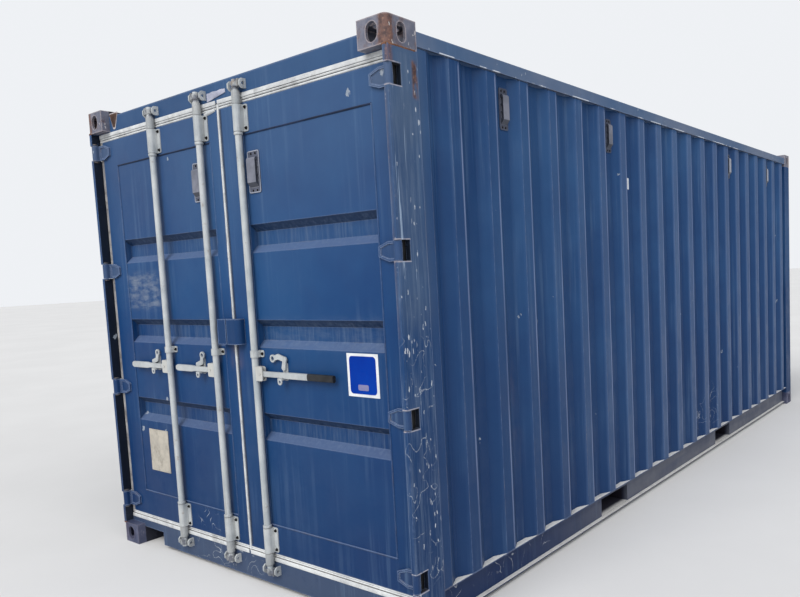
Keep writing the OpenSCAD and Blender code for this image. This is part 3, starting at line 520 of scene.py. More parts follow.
def inner_side(r):
    """One on faces that look at the middle of the load space"""
    here = r.here()
    face = r.facing()
    sides = r.times(r.short(r.times(here[0], face[0]), -0.12),
                    r.over(here[1], -2.846),
                    r.short(here[1], FRONT_WALL))
    front = r.times(r.over(here[1], FRONT_WALL),
                    r.short(face[1], -0.1),
                    r.short(r.absolute(here[0]), 1.11))
    roof = r.times(r.over(here[2], 2.554), r.short(face[2], -0.3))
    return r.maths("MAXIMUM", r.maths("MAXIMUM", sides, front), roof)


def casting_steel():
    material, r, shader = start_material("casting steel")
    cloud = r.group(EFFECTS["patches"], size=9.0)
    colour = r.blend(cloud, srgb(88, 93, 110), srgb(122, 122, 134))
    rust = r.group(EFFECTS["rust"])
    stain = r.ramp(r.grain(13.0, 6.0, 0.7), 0.50, 0.66)
    colour = r.blend(r.times(stain, 0.55), colour, rust)
    here = r.here()
    aside = r.minus(HALF_W, r.absolute(here[0]))
    behind = r.plus(r.absolute(here[1]), REAR)
    off = r.maths("SQRT", r.plus(r.times(aside, aside), r.times(behind, behind)))
    ragged = r.times(r.noise(r.place((26, 26, 7)), 1.0, 6.0, 0.7), 0.10)
    corner = r.ramp(r.minus(off, ragged), -0.022, 0.006, 1.0, 0.0)
    colour = r.blend(r.times(corner, 0.9), colour, rust)
    flecks = r.group(EFFECTS["chips"], size=80.0, stretch=2.0, amount=0.16)
    colour = r.tint(colour, flecks, 0.7, (196, 192, 190))
    edge = r.group(EFFECTS["edges"], width=0.010, start=0.014)
    colour = r.tint(colour, edge, 0.8, (176, 164, 164))
    low = r.ramp(here[2], 0.120, 0.135, 0.8, 0.0)
    colour = r.blend(low, colour, r.blend(cloud, srgb(46, 54, 84), srgb(72, 78, 106)))
    face = r.facing()
    # painted shade: faces of the castings turned towards the middle, seen through notches, darkened
    # to near black
    inner_face_shade = r.times(r.short(r.times(here[0], face[0]), -0.5),
                     r.short(r.absolute(here[1]), -DOOR_FACE))
    colour = r.tint(colour, inner_face_shade, 0.85, (16, 18, 26))
    r.feed(shader.inputs["Base Color"], colour)
    shader.inputs["Specular IOR Level"].default_value = 0.3
    r.feed(shader.inputs["Roughness"], r.ramp(stain, 0.0, 1.0, 0.55, 0.85))
    height = r.plus(r.grain(70.0, 5.0, 0.6), r.times(stain, 0.4))
    raise_surface(r, shader, height, 0.002)
    return material


def galvanised(name, tone, second, axis_x=None):
    """Zinc grey steel; on a rod at axis_x the fittings round it are paler than the rod"""
    material, r, shader = start_material(name)
    cloud = r.group(EFFECTS["patches"], size=7.0)
    colour = r.blend(cloud, tone, second)
    if axis_x is not None:
        here = r.here()
        aside, ahead = r.minus(here[0], axis_x), r.minus(here[1], ROD_Y)
        off = r.maths("SQRT", r.plus(r.times(aside, aside), r.times(ahead, ahead)))
        from_hub = r.absolute(r.minus(here[2], HANDLE_Z))
        sleeve = r.blend(cloud, srgb(146, 150, 152), srgb(170, 172, 172))
        fitting = r.blend(r.ramp(from_hub, 0.04, 0.06, 1.0, 0.0), sleeve, srgb(188, 188, 184))
        colour = r.blend(r.ramp(off, ROD_R + 0.0004, ROD_R + 0.0010), colour, fitting)
        # painted shade mixed with soiling: dark patches on the cams at the rod ends
        from_middle = r.absolute(r.minus(here[2], ROD_MIDDLE))
        grime_and_shade = r.times(r.ramp(from_middle, 1.165, 1.180), r.ramp(r.grain(38.0, 5.0), 0.40, 0.58))
        colour = r.tint(colour, grime_and_shade, 0.75, (66, 70, 88))
    runs = r.group(EFFECTS["streaks"], width=60.0, length=3.0, start=0.50)
    colour = r.tint(colour, runs, 0.5, (126, 124, 120))
    stain = r.ramp(r.grain(22.0, 6.0, 0.7), 0.60, 0.72)
    colour = r.tint(colour, stain, 0.55, (132, 106, 84))
    edge = r.group(EFFECTS["edges"], width=0.004, start=0.03)
    colour = r.tint(colour, edge, 0.35, (120, 112, 104))
    r.feed(shader.inputs["Base Color"], colour)
    r.feed(shader.inputs["Roughness"], r.ramp(cloud, 0.0, 1.0, 0.40, 0.58))
    shader.inputs["Metallic"].default_value = 0.15
    raise_surface(r, shader, r.grain(160.0, 4.0), 0.0008)
    return material


def plain_finish(name, tone, second, size, roughness, dirt_and_shade=0.4, dirt_tone=(70, 68, 66), shine=0.3):
    """Simple surface of two tones with soiled patches"""
    material, r, shader = start_material(name)
    cloud = r.group(EFFECTS["patches"], size=size)
    colour = r.blend(cloud, srgb(*tone), srgb(*second))
    dirty = r.ramp(r.grain(17.0, 6.0, 0.7), 0.46, 0.70)
    colour = r.tint(colour, dirty, dirt_and_shade, dirt_tone)
    r.feed(shader.inputs["Base Color"], colour)
    shader.inputs["Specular IOR Level"].default_value = shine
    rough = r.ramp(dirty, 0.0, 1.0, roughness, min(1.0, roughness + 0.2))
    r.feed(shader.inputs["Roughness"], rough)
    raise_surface(r, shader, r.grain(240.0, 4.0), 0.0006)
    return material


def vent_finish():
    """Weathered plastic: pale rim and grey hood; painted shade on the hood's sideways faces and
    undersides stands in for its louvre openings, and a painted shadow of the hood darkens the base
    sheet
    """
    material, r, shader = start_material("vent plastic")
    here = r.here()
    face = r.facing()
    aside = r.absolute(here[0])
    on_wall = r.over(aside, 1.1)
    depth = r.between(on_wall, r.minus(PANEL_FACE, here[1]),
                      r.minus(aside, WALL_FACE - WALL_DEPTH))
    sideways = r.between(on_wall, r.absolute(face[0]), r.absolute(face[1]))
    cloud = r.group(EFFECTS["patches"], size=9.0)
    colour = r.blend(cloud, srgb(98, 102, 114), srgb(122, 124, 136))
    far_end = r.ramp(here[1], -0.8, 1.4, 0.0, 0.7)
    colour = r.blend(far_end, colour, srgb(168, 170, 178))
    rim = r.times(r.ramp(depth, 0.0042, 0.0046), r.ramp(depth, 0.0054, 0.0060, 1.0, 0.0))
    rim_tone = r.blend(on_wall, srgb(156, 160, 172), srgb(58, 66, 86))
    colour = r.blend(r.times(rim, 0.8), colour, rim_tone)
    # painted shadow of the hood on the base sheet
    base = r.ramp(depth, 0.0034, 0.0042, 1.0, 0.0)
    base_tone = r.blend(on_wall, srgb(62, 68, 86), srgb(34, 42, 62))
    colour = r.blend(r.times(base, 0.7), colour, base_tone)
    # painted shade on the hood's sideways faces and undersides, for its louvre openings
    underside_shade = r.ramp(face[2], -0.75, -0.25, 1.0, 0.0)
    slot_shade = r.times(r.maths("MAXIMUM", r.ramp(sideways, 0.55, 0.8), underside_shade),
                    r.ramp(depth, 0.0054, 0.0060))
    colour = r.tint(colour, slot_shade, 0.8, (28, 34, 46))
    dirty = r.ramp(r.grain(26.0, 6.0, 0.7), 0.46, 0.70)
    colour = r.tint(colour, dirty, 0.3, (84, 84, 88))
    r.feed(shader.inputs["Base Color"], colour)
    shader.inputs["Specular IOR Level"].default_value = 0.3
    shader.inputs["Roughness"].default_value = 0.55
    raise_surface(r, shader, r.grain(240.0, 4.0), 0.0004)
    return material


def floor_boards():
    """Brown plywood with grain along the container"""
    material, r, shader = start_material("floor plywood")
    grain = r.noise(r.place((70, 1.6, 70)), 1.0, 7.0, 0.65, 0.4)
    colour = r.blend(r.ramp(grain, 0.35, 0.65), srgb(110, 76, 52), srgb(152, 112, 80))
    worn = r.ramp(r.noise(r.place((2, 0.8, 2)), 2.0, 5.0), 0.45, 0.7)
    colour = r.tint(colour, worn, 0.5, (150, 138, 124))
    scratch = r.ramp(r.noise(r.place((90, 0.9, 90)), 1.0, 3.0), 0.66, 0.70)
    colour = r.tint(colour, scratch, 0.5, (84, 62, 48))
    r.feed(shader.inputs["Base Color"], colour)
    r.feed(shader.inputs["Roughness"], r.ramp(worn, 0.0, 1.0, 0.55, 0.8))
    raise_surface(r, shader, grain, 0.001)
    return material


def rail_paint():
    """Dark paint of the base, with dust and painted skylight on its upper faces and painted shade
    beneath the container
    """
    material = paint("base paint", srgb(26, 40, 72), srgb(46, 58, 90), wear=0.7,
                     chip_amount=0.03, streak=0.25,
                     marks=(("bold", (1.15, -2.86, 0.04), (1.18, -1.90, 0.17), 0.9),
                            ("pale", (-1.3, -3.2, -0.2), (1.3, -2.88, 0.35), 0.28),
                            ("chalk", (-0.62, -3.1, 0.04), (0.1, -2.9, 0.15), 0.8)))
    tree = material.node_tree
    r = Recipe(tree)
    shader = next(n for n in tree.nodes if n.type == "BSDF_PRINCIPLED")
    base = shader.inputs["Base Color"].links[0].from_socket
    here = r.here()
    greyer = r.times(r.ramp(here[1], -2.3, -0.6, 0.0, 0.8), r.ramp(here[2], 0.16, 0.17, 1.0, 0.0),
                     r.ramp(r.noise(r.place((8, 1.2, 14)), 1.0, 5.0), 0.30, 0.60, 0.65, 1.0))
    aside = r.absolute(here[0])
    base = r.blend(r.times(greyer, r.ramp(aside, 1.12, 1.16)), base, srgb(98, 100, 108))
    # painted shade beneath the container, inside the bottom rails
    below = r.times(r.ramp(aside, 1.12, 1.16, 1.0, 0.0), r.ramp(here[1], -2.88, -2.85))
    base = r.blend(r.times(below, 0.8), base, srgb(44, 36, 34))
    up = r.facing()[2]
    # dust together with painted skylight: upward faces turned near white
    dust_and_top_light = r.times(r.ramp(up, 0.6, 0.9), r.minus(1.0, below),
                    r.ramp(r.grain(20.0, 4.0), 0.25, 0.5, 0.75, 1.0))
    r.feed(shader.inputs["Base Color"], r.blend(dust_and_top_light, base, srgb(224, 222, 218)))
    return material


NAVY, NAVY_FADED = srgb(17, 56, 101), srgb(38, 76, 119)
POST_SIDE = ((1.16, -3.04, 0.15), (1.225, -2.84, 2.45))
MATERIALS = {
    "frame_paint": paint(
        "frame paint", NAVY, NAVY_FADED, wear=0.6, chip_amount=0.012, streak=0.18,
        inner=srgb(150, 156, 160),
        marks=(("pale", (1.15, -3.04, 1.35), (1.225, -2.84, 2.6), 0.55),
               ("pale", (1.15, -3.04, 2.10), (1.225, -2.84, 2.6), 0.45),
               ("pale", (-1.12, -2.99, 2.42), (1.12, -2.97, 2.68), 0.42),
               ("rim", (1.185, -3.04, 0.2), (1.225, -2.952, 2.45), 0.75),
               # painted shadow beneath the top rail, along the top of the wall
               ("dirt_and_shade", (1.207, -2.84, 2.488), (1.2300, 2.84, 2.4965), 0.7),
               ("scratch", (1.20, -3.035, 0.4), (1.225, -2.90, 2.15), 0.85),
               ("brushed", *POST_SIDE, 0.42),
               ("flecks", (1.17, -2.93, 0.3), (1.225, -2.85, 2.4), 0.95),
               ("flecks", (1.17, -3.035, 0.2), (1.225, -2.96, 1.5), 0.9),
               ("flecks", (1.205, -3.035, 1.5), (1.225, -3.005, 2.3), 0.9),
               ("chalk", (1.20, -3.04, 0.25), (1.225, -2.86, 1.30), 0.8),
               ("rust", (1.205, -2.888, 2.28), (1.24, -2.856, 2.43), 0.95),
               ("rust", (1.20, -3.05, 2.40), (1.24, -3.0, 2.48), 0.6),
               ("rust", (1.18, -3.05, 1.30), (1.204, -3.01, 2.34), 0.18),
               # painted shade inside the hinge notches of both posts
               ("dirt_and_shade", (1.10, -3.026, 0.20), (1.2165, -2.90, 2.43), 0.9),
               ("dirt_and_shade", (-1.2165, -3.026, 0.12), (-1.10, -2.90, 2.47), 0.9),
               ("brown", (1.170, -2.235, 0.88), (1.180, -2.150, 1.12), 0.42),
               ("brown", (1.170, -2.235, 0.56), (1.180, -2.140, 0.76), 0.36),
               ("chalk", (1.15, 0.30, 0.24), (1.22, 0.75, 0.56), 0.45),
               ("pale", (-1.2, -3.03, -0.06), (1.2, -2.97, 0.165), 0.42))),
    "door_paint": paint(
        "door paint", srgb(6, 54, 104), srgb(27, 73, 120), wear=0.45, chip_amount=0.006,
        streak=0.16, lift=0.15,
        marks=(("scuff", (-1.003, -3.1, 1.439), (-0.672, -2.9, 1.636), 0.62),
               ("brushed", (-1.05, -2.97, 0.75), (1.07, -2.93, 1.85), 0.28),
               ("chalk", (-0.46, -3.1, 0.235), (-0.20, -2.9, 0.315), 0.95),
               ("brown", (-0.03, -3.1, 1.13), (0.06, -2.9, 1.25), 0.55),
               # painted shadow cast by the seam lip on the right door's edge
               ("dirt_and_shade", (0.020, -2.985, 0.20), (0.036, -2.978, 2.42), 0.6),
               ("scuff", (0.22, -3.1, 1.24), (1.07, -2.9, 1.38), 0.12))),
    "base_paint": rail_paint(),
    "casting_steel": casting_steel(),
    "galvanised": galvanised("pale guides", srgb(164, 169, 172), srgb(190, 193, 193)),
    "vent_plastic": vent_finish(),
    "seal_rubber": plain_finish("seal rubber", (24, 24, 26), (44, 44, 46), 14.0, 0.7,
                                dirt_and_shade=0.5, dirt_tone=(56, 54, 52)),
    "grip_rubber": plain_finish("grip rubber", (22, 23, 26), (38, 39, 42), 20.0, 0.45,
                                dirt_and_shade=0.2),
    "floor_wood": floor_boards(),
    "pin_steel": plain_finish("pin steel", (96, 92, 90), (126, 112, 102), 30.0, 0.5,
                              dirt_and_shade=0.6, dirt_tone=(84, 56, 40)),
    "data_plate": plain_finish("data plate", (184, 177, 164), (162, 156, 146), 12.0, 0.45,
                               dirt_and_shade=0.35),
}
ROD_PAINT = {rod: galvanised(rod + " rod steel", srgb(*dull), srgb(*clear), RODS[rod])
             for rod, dull, clear in (("left_outer", (170, 176, 179), (192, 195, 196)),
                                      ("left_inner", (168, 174, 177), (190, 193, 194)),
                                      ("right", (164, 171, 175), (186, 190, 191)))}
LOCK_PAINT = paint("lock box paint", srgb(8, 44, 88), srgb(26, 66, 108), wear=1.0,
                   chip_amount=0.01, streak=0.1)
HINGE_PAINT = paint("hinge paint", srgb(26, 60, 104), srgb(76, 92, 118), wear=1.0,
                    chip_amount=0.03, streak=0.3, lift=0.1)
RAIL_PAINT = paint("top rail paint", srgb(68, 93, 126), srgb(104, 114, 134), wear=0.7,
                   chip_amount=0.05, underside_shade=0.15,
                   marks=(("flecks", (1.1, -2.9, 2.4), (1.3, 2.9, 2.6), 0.5),
                          # painted shadow beneath the top rail
                          ("dirt_and_shade", (1.203, -2.9, 2.48), (1.3, 2.9, 2.4952), 1.0),
                          ("bare", (1.205, -2.7, 2.4955), (1.3, 1.4, 2.5005), 0.9)))
WHITE_SEAL = plain_finish("pale seal", (214, 216, 216), (190, 192, 194), 9.0, 0.55,
                          dirt_and_shade=0.35, dirt_tone=(104, 102, 98))
GREY_SEAL = plain_finish("worn seal", (128, 126, 128), (176, 174, 172), 6.0, 0.6,
                         dirt_and_shade=0.7, dirt_tone=(72, 66, 66))
SHEET_GREY = plain_finish("loose sheet", (176, 178, 194), (150, 152, 170), 16.0, 0.6,
                          dirt_and_shade=0.3)
DARK_BOLT = plain_finish("dark bolts", (14, 14, 16), (30, 28, 28), 30.0, 0.7, dirt_and_shade=0.2,
                         dirt_tone=(60, 48, 42), shine=0.1)
RUST_PLATE = plain_finish("rusty plate", (88, 66, 56), (60, 44, 38), 24.0, 0.8, dirt_and_shade=0.5,
                          dirt_tone=(46, 34, 32))
BARE_RIM = plain_finish("bare rim", (190, 182, 182), (158, 150, 152), 22.0, 0.7, dirt_and_shade=0.3)
# painted shadow: finish of the top bead along each door panel
SEAM_SHADOW = plain_finish("painted seam shadow", (14, 28, 54), (24, 44, 78), 9.0, 0.6, dirt_and_shade=0.2)
LABEL_WHITE = plain_finish("label white", (222, 224, 226), (206, 208, 212), 10.0, 0.4,
                           dirt_and_shade=0.12)
LABEL_BLUE = plain_finish("label blue", (0, 46, 142), (0, 54, 152), 6.0, 0.75, dirt_and_shade=0.0,
                          shine=0.08)
LABEL_GREY = plain_finish("label grey", (112, 112, 158), (126, 124, 160), 8.0, 0.4,
                          dirt_and_shade=0.1)
YELLOW = plain_finish("mark yellow", (214, 164, 78), (200, 150, 72), 9.0, 0.5, dirt_and_shade=0.2)
RUSTY_WELD = plain_finish("rusty weld", (88, 62, 50), (126, 86, 62), 22.0, 0.8,
                          dirt_and_shade=0.5, dirt_tone=(52, 40, 36))


def dress_cad_nodes():
    slot_of = {entry["node"]: entry["material_slot"] for entry in frame["record"]["subparts"]}
    special = {rod + "_rod": finish for rod, finish in ROD_PAINT.items()}
    special |= {"top_side_rails": RAIL_PAINT, "left_lock_box": LOCK_PAINT,
                "right_lock_box": LOCK_PAINT, "left_hinge_blades": HINGE_PAINT,
                "right_hinge_blades": HINGE_PAINT}
    for name, obj in frame["nodes"].items():
        finish = special.get(name, MATERIALS[slot_of[name]])
        if not obj.material_slots:
            obj.data.materials.append(finish)
        for place in obj.material_slots:
            place.material = finish


# ---------------------------------------------------------------- modelling helpers
def deselect():
    if bpy.context.mode != "OBJECT":
        bpy.ops.object.mode_set(mode="OBJECT")
    bpy.ops.object.select_all(action="DESELECT")


def only(obj):
    deselect()
    obj.select_set(True)
    bpy.context.view_layer.objects.active = obj


def settle(obj):
    """Puts the object at the origin with its place in its mesh"""
    only(obj)
    bpy.ops.object.transform_apply(location=True, rotation=True, scale=True)
    return obj


def start_block(name, low, high):
    """Cube between two corners, as a start for shaping"""
    deselect()
    low, high = Vector(low), Vector(high)
    bpy.ops.mesh.primitive_cube_add(size=1, location=(low + high) / 2)
    obj = bpy.context.active_object
    obj.name = name
    obj.scale = high - low
    return settle(obj)


def start_rod(name, centre, radius, depth, sides=12, turn=(0, 0, 0)):
    """Cylinder as a start for shaping"""
    deselect()
    bpy.ops.mesh.primitive_cylinder_add(vertices=sides, radius=radius, depth=depth,
                                        location=centre, rotation=turn)
    obj = bpy.context.active_object
    obj.name = name
    return settle(obj)


def pick_faces(obj, test):
    """Opens edit mode with just the faces for which test(centre, normal) holds"""
    only(obj)
    bpy.ops.object.mode_set(mode="EDIT")
    bpy.ops.mesh.select_mode(type="FACE")
    bpy.ops.mesh.select_all(action="DESELECT")
    mesh = bmesh.from_edit_mesh(obj.data)
    for face in mesh.faces:
        face.select = test(face.calc_center_median(), face.normal)
    mesh.select_flush(True)
    bmesh.update_edit_mesh(obj.data)


def pick_edges(obj, test):
    """Opens edit mode with just the edges for which test(start, end) holds"""
    only(obj)
    bpy.ops.object.mode_set(mode="EDIT")
    bpy.ops.mesh.select_mode(type="EDGE")
    bpy.ops.mesh.select_all(action="DESELECT")
    mesh = bmesh.from_edit_mesh(obj.data)
    for edge in mesh.edges:
        edge.select = test(edge.verts[0].co, edge.verts[1].co)
    mesh.select_flush_mode()
    bmesh.update_edit_mesh(obj.data)


def leave_edit():
    bpy.ops.object.mode_set(mode="OBJECT")


def round_edges(obj, width, segments=2, angle=0.6):
    only(obj)
    mod = obj.modifiers.new("round", "BEVEL")
    mod.width, mod.segments, mod.limit_method, mod.angle_limit = width, segments, "ANGLE", angle
    bpy.ops.object.modifier_apply(modifier=mod.name)
    return obj


def round_picked(obj, test, offset, segments):
    """Rounds the edges whose two ends pass the test"""
    pick_edges(obj, test)
    bpy.ops.mesh.bevel(offset=offset, segments=segments)
    leave_edit()


def smooth(obj, angle=0.6):
    only(obj)
    bpy.ops.object.shade_smooth_by_angle(angle=angle)
    return obj


def repeat(model, places, name):
    """Copies of a model at (place, turn), joined into one piece"""
    made = []
    for where, turn in places:
        twin = model.copy()
        twin.data = model.data.copy()
        bpy.context.collection.objects.link(twin)
        twin.location = where
        twin.rotation_euler = turn
        made.append(twin)
    deselect()
    for twin in made:
        twin.select_set(True)
    bpy.context.view_layer.objects.active = made[0]
    if len(made) > 1:
        bpy.ops.object.join()
    made[0].name = name
    return settle(made[0])


def drop(*models):
    for model in models:
        bpy.data.objects.remove(model)


def hand_over(obj, material, body):
    """Gives a finished piece its material and the body it rides on"""
    obj.data.materials.clear()
    obj.data.materials.append(material)
    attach(obj, body)
    return obj


FLAT = (0, 0, 0)


BOLT_SIZE = 0.0062
GUIDE_PLATE = 0.005


def bolt_model(size):
    """Hexagon bolt on a washer, head towards the rear"""
    washer = start_rod("washer", (0, -0.001, 0), size * 1.35, 0.002, 16, (math.pi / 2, 0, 0))
    head = start_rod("head", (0, -0.0045, 0), size, 0.005, 6, (math.pi / 2, 0, 0))
    pick_faces(head, lambda c, n: n.y < -0.9)
    bpy.ops.mesh.inset(thickness=size * 0.22, depth=0.0012)
    bpy.ops.mesh.inset(thickness=size * 0.3, depth=0)
    bpy.ops.mesh.extrude_region_move(TRANSFORM_OT_translate={"value": (0, -0.002, 0)})
    leave_edit()
    deselect()
    washer.select_set(True)
    head.select_set(True)
    bpy.context.view_layer.objects.active = washer
    bpy.ops.object.join()
    washer.name = "bolt_model"
    return washer


def rivet_model(size):
    """Low domed rivet, head towards the rear"""
    rivet = start_rod("rivet_model", (0, -size * 0.2, 0), size, size * 0.4, 12, (math.pi / 2, 0, 0))
    pick_faces(rivet, lambda c, n: n.y < -0.9)
    bpy.ops.mesh.inset(thickness=size * 0.3, depth=size * 0.18)
    bpy.ops.mesh.inset(thickness=size * 0.3, depth=size * 0.08)
    leave_edit()
    return rivet


def weld_model(length, size):
    """Rippled weld bead along X, lying on the plane Y = 0 with its crown to the rear"""
    deselect()
    bpy.ops.mesh.primitive_uv_sphere_add(segments=8, ring_count=5, radius=size, location=FLAT)
    drops = bpy.context.active_object
    drops.scale = (0.75, 0.55, 1.0)
    settle(drops)
    count = max(2, int(length / (size * 0.62)))
    mod = drops.modifiers.new("run", "ARRAY")
    mod.count = count
    mod.use_relative_offset = False
    mod.use_constant_offset = True
    mod.constant_offset_displace = (length / count, 0, 0)
    bpy.ops.object.modifier_apply(modifier=mod.name)
    drops.location = (-length / 2 + length / count / 2, 0, 0)
    settle(drops)
    only(drops)
    bpy.ops.object.mode_set(mode="EDIT")
    bpy.ops.mesh.select_all(action="SELECT")
    bpy.ops.transform.vertex_random(offset=size * 0.12, seed=4)
    leave_edit()
    drops.name = "weld_model"
    return smooth(drops, 1.2)


# ---------------------------------------------------------------- pieces
def guide_bolts():
    model = bolt_model(BOLT_SIZE)
    for rod, x in RODS.items():
        places = [((x + dx, DOOR_FACE - GUIDE_PLATE, z), (0, i * 0.4, 0))
                  for i, z in enumerate(GUIDE_HOLE_Z) for dx in GUIDE_HOLES]
        strap_front = (DOOR_FACE if rod == "right" else PANEL_FACE) - GUIDE_PLATE
        places += [((x + dx, strap_front, STRAP_Z), (0, 0.9, 0)) for dx in (-0.034, 0.034)]
        piece = repeat(model, places, rod + "_guide_bolts")
        hand_over(piece, DARK_BOLT, DOOR_OF[rod])
    drop(model)


def guide_bushings():
    """Rounded collars where a rod leaves its tall guides"""
    ring = start_rod("ring_model", FLAT, 0.0215, 0.014, 24)
    round_edges(ring, 0.003, 2)
    smooth(ring)
    for rod, x in RODS.items():
        places = [((x, ROD_Y, z), FLAT) for z in (0.3345, 2.2745)]
        piece = repeat(ring, places, rod + "_guide_bushings")
        hand_over(piece, MATERIALS["galvanised"], DOOR_OF[rod])
    drop(ring)


def panel_beads():
    """Sealed seam round each door panel"""
    for door, x0, x1 in (("left_door", -1.005, -0.075), ("right_door", 0.200, 1.070)):
        corners = [(x0, 0.337), (x1, 0.337), (x1, 2.272), (x0, 2.272)]
        for number, (start, end) in enumerate(zip(corners, corners[1:] + corners[:1])):
            name = f"{door}_panel_bead_{number}"
            bead = long_strip(name, (start[0], DOOR_FACE + 0.0005, start[1]),
                              (end[0], DOOR_FACE + 0.0005, end[1]), 0.0042, 8)
            # the top bead gets the painted shadow finish
            finish = SEAM_SHADOW if number == 2 else MATERIALS["door_paint"]
            hand_over(bead, finish, door)


def long_strip(name, start, end, radius, sides):
    """Slightly uneven round strip between two points"""
    start, end = Vector(start), Vector(end)
    run = end - start
    turn = run.to_track_quat("Z", "Y").to_euler()
    lip = start_rod(name, (start + end) / 2, radius, run.length, sides, turn)
    long_way = run.normalized()
    pick_edges(lip, lambda a, b: abs((a - b).normalized().dot(long_way)) > 0.9)
    bpy.ops.mesh.subdivide(number_cuts=max(4, int(run.length / 0.045)))
    bpy.ops.mesh.select_all(action="SELECT")
    bpy.ops.transform.vertex_random(offset=0.0007, seed=len(name))
    leave_edit()
    return smooth(lip, 1.0)


def seal_lip(name, start, end, radius, body, material):
    return hand_over(long_strip(name, start, end, radius, 10), material, body)


def seal_strip(name, low, high, body):
    """Flat pale lip of a door seal with rolled long edges"""
    strip = start_block(name, low, high)
    middle = (low[1] + high[1]) / 2
    round_picked(strip, lambda a, b: abs((a - b).x) > 0.1 and (a.y + b.y) / 2 < middle, 0.0015, 3)
    pick_edges(strip, lambda a, b: abs((a - b).x) > 0.1)
    bpy.ops.mesh.subdivide(number_cuts=24)
    bpy.ops.mesh.select_all(action="SELECT")
    bpy.ops.transform.vertex_random(offset=0.0005, seed=5)
    leave_edit()
    return hand_over(smooth(strip, 1.0), WHITE_SEAL, body)


def door_seals():
    y = SEAL_FACE - 0.001
    lips = (("top_outer", 2.4435, 0.0058), ("top_inner", 2.4290, 0.0058),
            ("foot_outer", 0.1715, 0.0042), ("foot_inner", 0.1810, 0.0042))
    for side, x0, x1 in (("left", -1.184, -0.003), ("right", 0.012, 1.184)):
        body = side + "_door"
        for name, z, radius in lips:
            seal_lip(f"{side}_seal_{name}", (x0, y, z), (x1, y, z), radius, body, WHITE_SEAL)
        seal_strip(f"{side}_seal_top_flap", (x0, DOOR_FACE - 0.0035, 2.4485),
                   (x1, DOOR_FACE - 0.0003, 2.4685), body)
        seal_strip(f"{side}_seal_foot_flap", (x0, DOOR_FACE - 0.0035, 0.1450),
                   (x1, DOOR_FACE - 0.0003, 0.1655), body)
        edge = x0 if side == "left" else x1
        inward = 1 if side == "left" else -1
        for number, shift in enumerate((0.000, 0.012)):
            x = edge + inward * shift
            seal_lip(f"{side}_seal_hinge_{number}", (x, y, 0.170), (x, y, 2.446), 0.0046, body,
                     GREY_SEAL)
    seal_lip("right_seal_seam", (0.0112, y - 0.0035, 0.169), (0.0112, y - 0.0035, 2.448), 0.0066,
             "right_door", WHITE_SEAL)


def loose_seals():
    """Sheet bent over the header above the seam, and the rolled end of the left door's seal"""
    low_x, high_x, foot, head = -0.070, 0.085, 2.470, 2.513
    sheet = start_block("header_sheet", (low_x, DOOR_FACE - 0.0035, foot),
                        (high_x, DOOR_FACE, head))
    pick_edges(sheet, lambda a, b: abs((a - b).x) > 0.1)
    bpy.ops.mesh.subdivide(number_cuts=13)
    leave_edit()
    for vertex in sheet.data.vertices:
        along = (vertex.co.x - low_x) / (high_x - low_x)
        if vertex.co.z < foot + 0.001:
            vertex.co.z += 0.024 * along
        else:
            vertex.co.z -= 0.0015 * math.sin(14 * along)
        if vertex.co.y < DOOR_FACE - 0.001:
            vertex.co.y -= 0.002 * math.sin(math.pi * along)
    round_edges(sheet, 0.0008, 2)
    hand_over(smooth(sheet), SHEET_GREY, "container_frame")
    roll = long_strip("left_seal_rolled_end", (-0.100, SEAL_FACE - 0.003, 2.4130),
                      (-0.012, SEAL_FACE - 0.003, 2.4260), 0.0098, 12)
    for vertex in roll.data.vertices:
        along = (vertex.co.x + 0.100) / 0.088
        vertex.co.y -= 0.003 * math.sin(math.pi * along)
    hand_over(roll, WHITE_SEAL, "left_door")


def header_gusset():
    """Rusty three-cornered plate with a bare rim, welded on the header beside a casting"""
    for name, grow, depth, finish in (("header_gusset_rim", 0.006, 0.0016, BARE_RIM),
                                      ("header_gusset", 0.0, 0.0028, RUST_PLATE)):
        plate = start_block(name, (-1.045 - grow, DOOR_FACE - depth, 2.490 - 1.6 * grow),
                            (-0.960 + grow, DOOR_FACE, 2.568 + grow))
        pick_faces(plate, lambda c, n: n.z < -0.9)
        bpy.ops.transform.resize(value=(0.22, 1, 1), center_override=(-1.005, DOOR_FACE, 2.49))
        leave_edit()
        round_picked(plate, lambda a, b: abs(a.y - b.y) > 0.001, 0.007, 4)
        hand_over(smooth(plate), finish, "container_frame")


def label_plate():
    """Blank notice plate: pale rim, blue field with round corners, one grey bar"""
    low, high = (0.827, PANEL_FACE - 0.0012, 1.037), (1.021, PANEL_FACE, 1.230)
    rim = start_block("label_rim", low, high)
    round_edges(rim, 0.0005, 1)
    hand_over(rim, LABEL_WHITE, "right_door")
    for name, low, high, corner, steps, finish in (
            ("label_field", (0.842, PANEL_FACE - 0.0018, 1.050),
             (1.006, PANEL_FACE - 0.0011, 1.218), 0.018, 6, LABEL_BLUE),
            ("label_bar", (0.892, PANEL_FACE - 0.0023, 1.066),
             (0.956, PANEL_FACE - 0.0017, 1.092), 0.006, 4, LABEL_GREY)):
        layer = start_block(name, low, high)
        round_picked(layer, lambda a, b: abs(a.y - b.y) > 0.0001, corner, steps)
        hand_over(layer, finish, "right_door")


def plate_rivets():
    low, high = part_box("left_data_plate")
    model = rivet_model(0.004)
    places = [((x, low.y, z), FLAT)
              for x in (low.x + 0.009, high.x - 0.009) for z in (low.z + 0.009, high.z - 0.009)]
    piece = repeat(model, places, "data_plate_rivets")
    hand_over(piece, MATERIALS["galvanised"], "left_door")
    drop(model)


